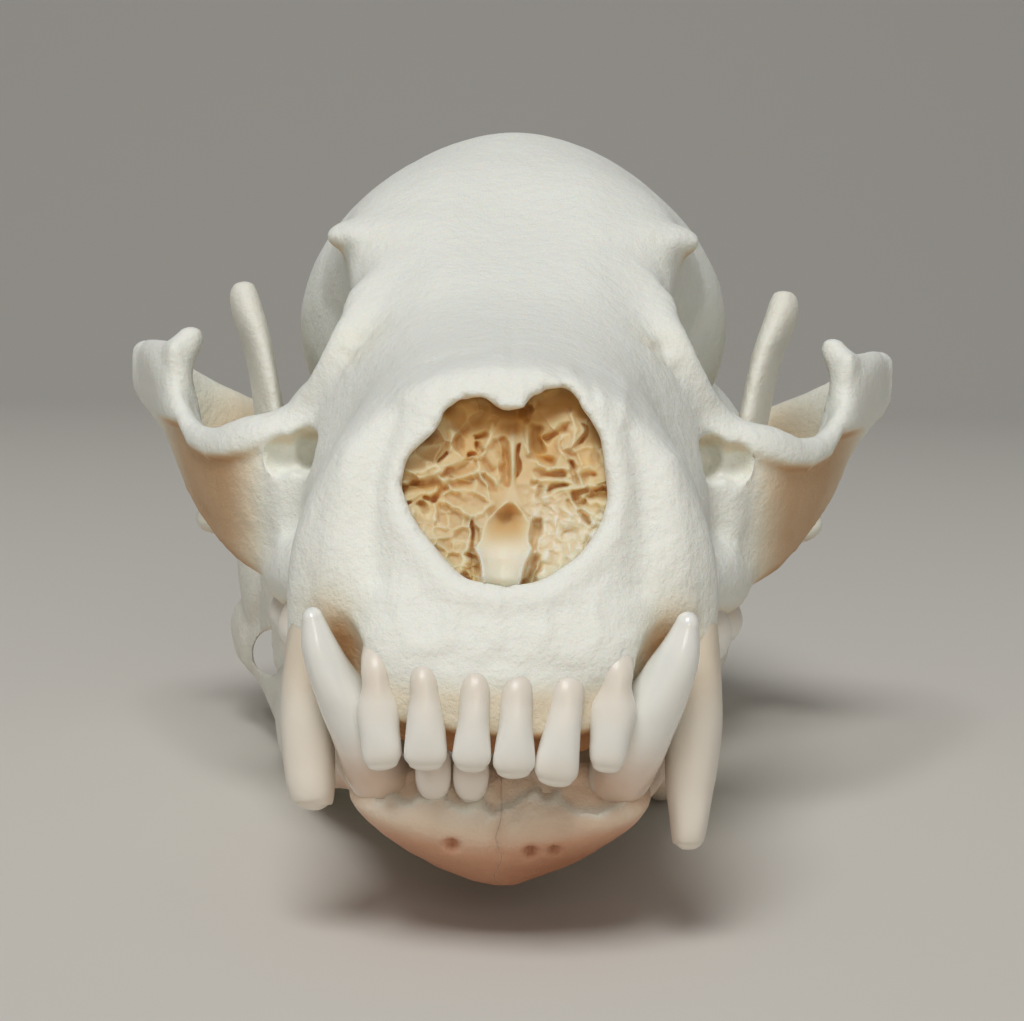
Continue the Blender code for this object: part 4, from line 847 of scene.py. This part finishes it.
upper_front = mesh_object("upper_front_teeth", [front_tooth(*row) for row in UPPER_FRONT])
grooved(upper_front, 0.03, 51)
left_eye = [
    (12.6, 12.0, 6.0, 1.9, 2.6), (13.3, 9.8, 0.6, 1.95, 3.0), (13.55, 8.6, -4.2, 1.95, 2.8),
    (13.4, 8.0, -7.4, 1.85, 2.5), (13.3, 7.6, -9.6, 1.6, 2.1), (13.25, 7.3, -11.8, 1.28, 1.8),
    (13.2, 7.25, -12.75, 1.1, 1.5), (13.2, 7.2, -13.05, 0.95, 1.3), (13.2, 7.2, -13.15, 0.6, 0.8)]
right_eye = [
    (-12.6, 12.0, 6.0, 1.9, 2.6), (-13.3, 9.8, 0.6, 1.85, 3.0), (-13.6, 8.6, -3.6, 1.85, 2.8),
    (-13.4, 8.0, -7.0, 1.82, 2.5), (-13.15, 7.5, -9.3, 1.66, 2.1), (-13.0, 7.4, -10.3, 1.46, 1.8),
    (-13.0, 7.35, -10.65, 1.25, 1.5), (-13.0, 7.35, -10.75, 0.8, 1.0)]
upper_eye = mesh_object("upper_eye_teeth", [
    stroke(rows, up=(0, 1, 0), steps=8, sides=48, power=2.3, round_ends=False)
    for rows in (left_eye, right_eye)])
grooved(upper_eye, 0.07, 53)
upper_cheek = mesh_object("upper_cheek_teeth", [
    cheek_tooth(s * x, y, tip, w, l, -0.6, -1) for s in (1, -1) for x, y, tip, w, l in UPPER_CHEEK])
grooved(upper_cheek, 0.03, 55)


def tooth_material(name, stops, roughness, coat):
    """Tooth coloured from crown to root, with faint stains 3 mm wide and hair-fine lines."""
    made, tree = new_material(name)
    place, amount = blotched_warmth(tree, {"Scale": per_mm(3), "Detail": 3}, 0.2)
    tone = ramp(tree, amount, stops)
    lines = add(tree, "ShaderNodeTexNoise", [(place, "Vector")], {"Scale": per_mm(0.6), "Detail": 2})
    relief = add(tree, "ShaderNodeBump", [(lines.outputs["Fac"], "Height")],
                 {"Strength": 0.15, "Distance": 0.0001})
    shader = add(tree, "ShaderNodeBsdfPrincipled",
                 [(tone.outputs[0], "Base Color"), (relief.outputs[0], "Normal")],
                 {"Roughness": roughness, "Coat Weight": coat, "Coat Roughness": 0.12,
                  "Subsurface Weight": 0.3, "Subsurface Radius": (0.8, 0.7, 0.6), "Subsurface Scale": 0.0012})
    add(tree, "ShaderNodeOutputMaterial", [(shader.outputs[0], "Surface")])
    return made


IVORY = tooth_material("ivory tooth, half matt", [
    (0.0, "F6F6F0"), (0.4, "EFEBE1"), (0.7, "DFD3C2"), (1.0, "C2A68A")], 0.4, 0.15)
CREAM = tooth_material("dull eye tooth, cream", [
    (0.0, "EBE5D9"), (0.5, "E2D7C4"), (1.0, "CDBB9D")], 0.5, 0.05)
for piece, finish in ((upper_front, IVORY), (upper_eye, CREAM), (upper_cheek, IVORY)):
    p, n = points_of(piece)
    biting_edge = 0.35 * between(p[:, 2], -4.8, -6.6) * (finish is IVORY)
    paint(piece, 0.06 + 0.5 * between(p[:, 2], -4.6, -0.6) + biting_edge, finish)
    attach(piece, "root")
    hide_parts("muzzle")


# Lower jaw
# Two bones that meet at the chin in a rough seam, each with a tall blade that rises inside the cheek arch.
# Each meets the skull by a roller at its rear corner. Matt bone; the salmon low on the chin and under the jaw
# is painted warm light from below and painted shade.

# How far each half leans in at its rear lower corner: the left one leans in, and the right one is turned out
LEAN = {1: 4.2, -1: -1.5}
FLOOR_LEVEL = -20.4
JAW_TRIANGLES = 185000

# Broken front edge of the tooth sockets: x and z
JAGGED_EDGE = [
    (-9.4, -8.6), (-8.1, -9.8), (-7.5, -9.1), (-6.1, -9.8), (-5.2, -9.4), (-3.7, -9.4), (-2.5, -10.1),
    (-1.1, -9.7), (-0.6, -10.5), (0.2, -10.0), (2.3, -9.0), (4.2, -9.1), (5.4, -10.1), (6.6, -10.2),
    (8.3, -9.5), (9.1, -8.8)]

# Small holes for nerves in the chin: x, z and radius
PORES = [(-3.2, -12.7, 0.4), (2.2, -13.1, 0.4), (3.8, -13.0, 0.32)]


def leaning(grid, side):
    """x' = x - side * lean * clip((y - 20) / 60, 0, 1) * clip((2 - z) / 12, 0, 1)"""
    moved = grid.copy()
    rearward, downward = np.clip((grid[..., 1] - 20) / 60, 0, 1), np.clip((2 - grid[..., 2]) / 12, 0, 1)
    moved[..., 0] -= side * LEAN[side] * rearward * downward
    return moved


chin = sections([
    (3.6, -10.0, -12.2, 6.0, -10.8, 3.0, 1.6), (4.3, -9.5, -13.6, 8.6, -10.4, 3.0, 1.5),
    (5.6, -8.8, -15.2, 10.0, -10.2, 3.0, 1.4), (7.5, -8.2, -16.4, 10.6, -10.1, 3.0, 1.4),
    (10.5, -8.2, -17.0, 10.7, -10.2, 3.0, 1.45), (14.5, -8.8, -17.0, 10.4, -10.6, 2.6, 1.6),
    (18.0, -9.6, -16.4, 9.4, -11.2, 2.4, 1.8), (20.5, -11.0, -15.0, 7.0, -12.4, 2.2, 2.0)])
# crest of the tooth row, over the sockets of the lost front teeth
crest = stroke([
    (-8.2, 7.4, -8.9, 1.2, 1.4), (-4.5, 6.0, -8.9, 1.2, 1.6), (0, 5.5, -8.9, 1.2, 1.6),
    (2.8, 5.4, -8.7, 1.2, 1.7), (5.4, 6.2, -8.7, 1.2, 1.6), (8.2, 7.4, -8.9, 1.2, 1.4)], sides=32)
jaw_parts = [
    # body
    stroke([
        (5.6, 14.0, -12.2, 2.4, 3.2), (7.4, 21.0, -11.9, 3.0, 3.4), (10.9, 30.0, -11.8, 3.0, 3.5),
        (14.2, 40.0, -12.8, 3.0, 4.5), (16.4, 50.0, -14.2, 3.0, 6.0), (18.2, 60.0, -14.7, 2.8, 6.2),
        (19.4, 68.0, -14.0, 2.1, 6.4), (22.7, 75.5, -11.0, 1.8, 5.2),
        (26.0, 82.0, -9.8, 1.6, 4.4)], sides=40),
    # edge that the cheek teeth stand in
    stroke([
        (9.8, 12.0, -9.4, 1.6, 1.9), (11.2, 19.0, -9.3, 1.9, 2.1), (12.2, 26.0, -9.2, 2.1, 2.3),
        (13.4, 33.0, -9.1, 2.5, 2.4), (14.8, 40.0, -9.0, 2.6, 2.4), (16.4, 47.5, -9.2, 2.5, 2.4),
        (18.4, 54.0, -10.6, 2.0, 2.2)], sides=32),
    # angle at the rear
    stroke([(25.2, 79.0, -10.6, 1.5, 3.8), (26.6, 84.0, -9.8, 1.5, 2.8), (26.8, 88.0, -8.8, 1.2, 1.6)]),
    # upright blade
    stroke([
        (20.8, 70.0, -12.0, 2.0, 8.0), (22.2, 71.0, -4.0, 1.6, 9.2), (23.1, 71.5, 4.0, 1.45, 8.0),
        (24.0, 72.0, 12.0, 1.35, 6.2), (25.3, 73.0, 19.0, 1.4, 4.6), (26.9, 74.0, 23.8, 1.55, 2.9),
        (27.2, 74.5, 25.9, 1.1, 1.5)],
        sides=40, up=(0.25, 1, 0), round_ends=False),
    # neck and roller of the joint
    stroke([(24.0, 76.0, -6.0, 1.7, 4.0), (25.8, 80.0, -2.6, 1.8, 3.4), (26.6, 83.2, -0.4, 2.0, 2.2)]),
    stroke([(23.6, 84.2, 0.9, 1.7, 1.8), (26.4, 84.0, 1.1, 2.2, 2.2), (31.6, 83.4, 1.5, 1.7, 1.8)])]

# its salmon is painted warm light from below and painted shade, stored with each point
SALMON_BONE = bone_material("bleached bone of the jaw, salmon in painted light and shade", [
    (0.0, "F1F2E8"), (0.14, "EEEADC"), (0.35, "E8D2BA"), (0.65, "D2A284"), (1.0, "AC7454")], 0.55, 0.55, 0.15)


def slab(corners, thickness):
    """A flat block: the corners, and the same corners moved by the thickness."""
    corners = np.asarray(corners, float)
    return np.stack([corners, corners + np.asarray(thickness, float)])


def over_broken_edge(p):
    """Height over the jagged edge, and how far a point is on the front of the tooth row."""
    edge_x, edge_z = np.transpose(JAGGED_EDGE)
    height = p[:, 2] - np.interp(p[:, 0], edge_x, edge_z) - 0.3 * noise(p * (1, 0, 1), 0.8, 64)
    return height, between(p[:, 1], 8.5, 6.5) * between(np.abs(p[:, 0]), 9.6, 9.0)


def at_pores(p):
    """1 in the middle of each small hole in the chin, fading out over its radius."""
    return sum(swell(np.hypot(p[:, 0] - x, p[:, 2] - z), r) for x, z, r in PORES) * between(p[:, 1], 9, 7)


def jaw_half(name, node, side):
    """The left half for side 1 and the right half for side -1, in place of that node."""
    to_side = np.array([side, 1, 1])
    half = mesh_object(name, [chin, crest] + [leaning(grid * to_side, side) for grid in jaw_parts])
    grow_together(half, 0.45, 4)
    if side < 0:
        # the thin side of the right half is broken through
        cut_away(half, [mesh_object("cutter", [stroke([
            (-22.9, 66.0, -10.0, 2.0, 2.3), (-24.6, 80.0, -12.4, 2.1, 2.4), (-26.0, 92.0, -14.4, 2.1, 2.4)],
            round_ends=False, sides=24)])])
    grow_together(half, 0.28, 2)
    cut_away(half, [mesh_object("cutter", [grid]) for grid in (
        # all past the seam at the chin, and all under the floor
        slab([(0.01 * side, y, z) for y, z in ((-20, -60), (140, -60), (140, 60), (-20, 60))],
             (-70 * side, 0, 0)),
        slab([(x, y, FLOOR_LEVEL) for x, y in ((-60, -20), (60, -20), (60, 140), (-60, 140))],
             (0, 0, -20)))])
    p, n = points_of(half)
    push = 0.10 * noise(p, 6.0, 61) + 0.05 * noise(p, 1.8, 62)
    push += 0.035 * noise(p, 0.9, 63) * between(p[:, 1], 30, 15)
    # a low flange beside the seam on the left half, and the seam's rough groove
    push += 0.35 * swell(near_path(p, [(1.2, 4.0, -11.0), (1.6, 5.6, -13.6), (1.0, 8.0, -15.6)]), 0.6)
    push *= between(np.abs(p[:, 0]), 0.1, 0.9) * between(p[:, 2], FLOOR_LEVEL + 0.1, FLOOR_LEVEL + 1.5)
    push -= 0.07 * swell(p[:, 0], 0.3) * between(n[:, 1], 0.2, -0.3) * (1 + noise(p, 0.7, 65))
    push -= 0.8 * at_pores(p)
    p[:, 1:] += n[:, 1:] * push[:, None]
    p[:, 0] += n[:, 0] * push * between(np.abs(p[:, 0]), 0.1, 0.5)
    # the front of the sockets has broken away down to a jagged edge
    height, in_front = over_broken_edge(p)
    step = 0.7 * between(height, -0.1, 0.1) + 0.25 * noise(p, 0.9, 67) * between(height, 0, 0.4)
    p[:, 1] += in_front * step
    # the seam wanders
    p[:, 0] += 0.3 * noise(p * (0, 1, 1), 1.5, 66) * between(np.abs(p[:, 0]), 2.5, 0.0)
    put_points(half, p)
    thin_out(half, JAW_TRIANGLES)
    half.data.set_sharp_from_angle(angle=np.radians(55))
    p, n = points_of(half)
    # painted warm light from below and painted shade: salmon low on the chin, most on the skull's left side
    warm_light_and_shade_below = (0.2 + 0.42 * between(p[:, 2], -10.0, -15.0)) * between(p[:, 1], 45, 12)
    warm_light_and_shade_below *= 1 + 0.35 * between(p[:, 0], -2, 7)
    sockets = 0.1 * between(p[:, 2], -10.8, -9.4) * between(p[:, 1], 4.4, 5.4) * between(p[:, 1], 26, 18)
    seam = 0.1 * swell(p[:, 0], 0.5) * between(p[:, 2], -13.5, -11.5) * between(p[:, 1], 9, 6)
    height, in_front = over_broken_edge(p)
    torn = swell(height + 0.15, 0.3) * in_front
    # less of it along the broken edge, a darker seam, and painted shade in the small holes
    warmth = 0.06 + (warm_light_and_shade_below + sockets) * (1 - 0.7 * torn) + seam + 0.45 * at_pores(p)
    # painted shade: faces that look down are browner
    paint(half, warmth + 0.2 * between(n[:, 2], -0.2, -0.9), SALMON_BONE)
    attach(half, "root")
    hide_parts(node)
    return half


jaw_half("jaw_half_left", "jaw_left", 1)
jaw_half("jaw_half_right", "jaw_right", -1)


# Lower teeth
# Two tall eye teeth that close in front of the upper ones, six cheek teeth a side and two front teeth.
# Glossy, bluish white enamel, pinkish at the root. The eye teeth curve out and back to a blunt point.

# Cheek teeth of the left half, set out like the upper ones
LOWER_CHEEK = [
    (10.6, 14.6, -6.6, 1.0, 1.2), (11.2, 18.6, -5.6, 1.2, 1.9), (12.0, 23.4, -5.3, 1.4, 2.3),
    (13.0, 28.9, -5.0, 1.8, 2.5), (14.2, 36.6, -4.8, 2.4, 4.4), (16.2, 46.2, -4.8, 2.4, 4.2)]

# The only two lower front teeth, both in the right half: x and y
LOWER_FRONT = [(-4.5, 3.7), (-1.9, 3.5)]
ENAMEL = tooth_material("glossy tooth enamel, bluish white", [
    (0.0, "F2F4EF"), (0.4, "EFE7DD"), (0.7, "E0C6B0"), (1.0, "C49A70")], 0.25, 0.6)


def lower_teeth(name, node, side):
    """The teeth of the left half for side 1 and of the right half for side -1."""
    # the right eye tooth is slimmer and stands a little further out
    slim, further_out = (1.0, 0.0) if side > 0 else (0.86, 0.25)
    eye = np.array([
        (6.9, 10.0, -11.6, 1.3, 1.6), (7.9, 7.6, -9.2, 2.1, 2.3), (9.1, 5.4, -5.8, 2.3, 2.5),
        (10.2, 4.2, -3.0, 2.1, 2.3), (11.15, 3.6, -1.0, 1.8, 2.0), (12.0, 3.2, 1.2, 1.4, 1.6),
        (12.45, 3.0, 3.1, 0.82, 0.95)])
    eye[:, 0] = side * (eye[:, 0] + further_out)
    eye[2:, 3] *= slim
    grids = [stroke(eye, up=(0, 1, 0), steps=8, sides=56)]
    grids += [leaning(cheek_tooth(side * x, y, tip, w, l, -8.8, 1), side) for x, y, tip, w, l in LOWER_CHEEK]
    if side < 0:
        grids += [stroke([
            (x * 0.97, y + 2.6, -10.2, 0.7, 0.7), (x, y + 1.4, -9.1, 0.9, 0.8), (x, y + 0.5, -8.5, 1.1, 0.85),
            (x, y + 0.05, -7.8, 1.22, 0.85), (x, y, -7.0, 1.2, 0.7),
            (x, y + 0.15, -6.3, 1.1, 0.5)], up=(0, 1, 0),
            steps=6, sides=36, power=2.3) for x, y in LOWER_FRONT]
    teeth = mesh_object(name, grids)
    grooved(teeth, 0.035, 71)
    p, n = points_of(teeth)
    out = np.abs(p[:, 0])
    root = 0.62 * between(p[:, 2], -3.6, -8.6) * between(out, 6.2, 6.6) * between(p[:, 1], 13.5, 12)
    nub = 0.35 * between(out, 6.4, 6.1) * between(p[:, 1], 13, 12)
    cheek_root = 0.6 * between(p[:, 2], -6.4, -8.6) * between(p[:, 1], 12, 14)
    paint(teeth, 0.04 + root + nub + cheek_root, ENAMEL)
    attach(teeth, "root")
    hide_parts(node)
    return teeth


lower_teeth("lower_teeth_left", "jaw_left", 1)
lower_teeth("lower_teeth_right", "jaw_right", -1)


# Studio
# Pale matt paper that runs back and curves up behind the skull, under a large soft light above and in front,
# with a weak one beside the camera and a faint warm one from low in front.

bend = np.linspace(0, np.pi / 2, 40)
curve = np.stack([0.7 + 0.9 * np.sin(bend), 0.9 * (1 - np.cos(bend))], axis=1)
sweep = np.vstack([[(-1.5, 0.0)], curve, [(1.6, 3.0)]])
mesh = bpy.data.meshes.new("paper")
mesh.from_pydata([(x, y, z) for y, z in sweep.tolist() for x in (-3.0, 3.0)], [],
                 [(2 * i, 2 * i + 1, 2 * i + 3, 2 * i + 2) for i in range(len(sweep) - 1)])
mesh.polygons.foreach_set("use_smooth", np.ones(len(mesh.polygons), bool))
floor = bpy.data.objects.new("paper", mesh)
bpy.context.scene.collection.objects.link(floor)
paper, tree = new_material("pale matt paper")
shader = add(tree, "ShaderNodeBsdfPrincipled", (), {"Roughness": 0.9, "Base Color": colour("D8D4CC")})
add(tree, "ShaderNodeOutputMaterial", [(shader.outputs[0], "Surface")])
mesh.materials.append(paper)

# The lamps face this place inside the skull, 20 mm in front of its middle
LIT_PLACE = Vector((0, -0.02, 0.03))


def soft_light(name, place, width, power, tint):
    """A round lamp that faces the skull."""
    lamp = bpy.data.lights.new(name, "AREA")
    lamp.shape = "DISK"
    lamp.size = width
    lamp.energy = power
    lamp.color = colour(tint)[:3]
    made = bpy.data.objects.new(name, lamp)
    bpy.context.scene.collection.objects.link(made)
    made.location = place
    made.rotation_euler = (LIT_PLACE - Vector(place)).to_track_quat("-Z", "Y").to_euler()


soft_light("large light above", (-0.2, -0.85, 1.4), 0.8, 15.5, "FFFFFF")
soft_light("light beside the camera", (0.15, -0.9, 0.35), 0.35, 0.9, "FFFCF4")
soft_light("faint light from below", (0.0, -0.45, 0.03), 0.3, 0.12, "FFC890")
world = bpy.data.worlds.new("studio")
bpy.context.scene.world = world
world.use_nodes = True
background = world.node_tree.nodes["Background"]
background.inputs["Color"].default_value = colour("EEF0F4")
background.inputs["Strength"].default_value = 0.16


# Camera
# A close view from just in front of the nose and a little above it, looking slightly down.

# Focal length as a share of the picture's width, both counted in its pixels
FOCAL_WIDTHS = 2075 / 1024
SENSOR_WIDTH = 36.0

yaw, pitch, roll = np.radians([0.27, -5.62, 0.98])
level = np.array([-np.sin(yaw), np.cos(yaw), 0])
right = np.array([np.cos(yaw), np.sin(yaw), 0])
up = np.array([0, 0, 1])
ahead = level * np.cos(pitch) + up * np.sin(pitch)
above = up * np.cos(pitch) - level * np.sin(pitch)
turned = np.stack([
    right * np.cos(roll) + above * np.sin(roll), above * np.cos(roll) - right * np.sin(roll), -ahead], axis=1)
lens = bpy.data.cameras.new("camera")
camera = bpy.data.objects.new("camera", lens)
bpy.context.scene.collection.objects.link(camera)
camera.matrix_world = Matrix.Translation((EYE + TO_FLOOR) * MM) @ Matrix(turned).to_4x4()
lens.sensor_width = SENSOR_WIDTH
lens.lens = SENSOR_WIDTH * FOCAL_WIDTHS
lens.clip_start = 0.005
bpy.context.scene.camera = camera
bpy.context.scene.view_settings.view_transform = "Standard"
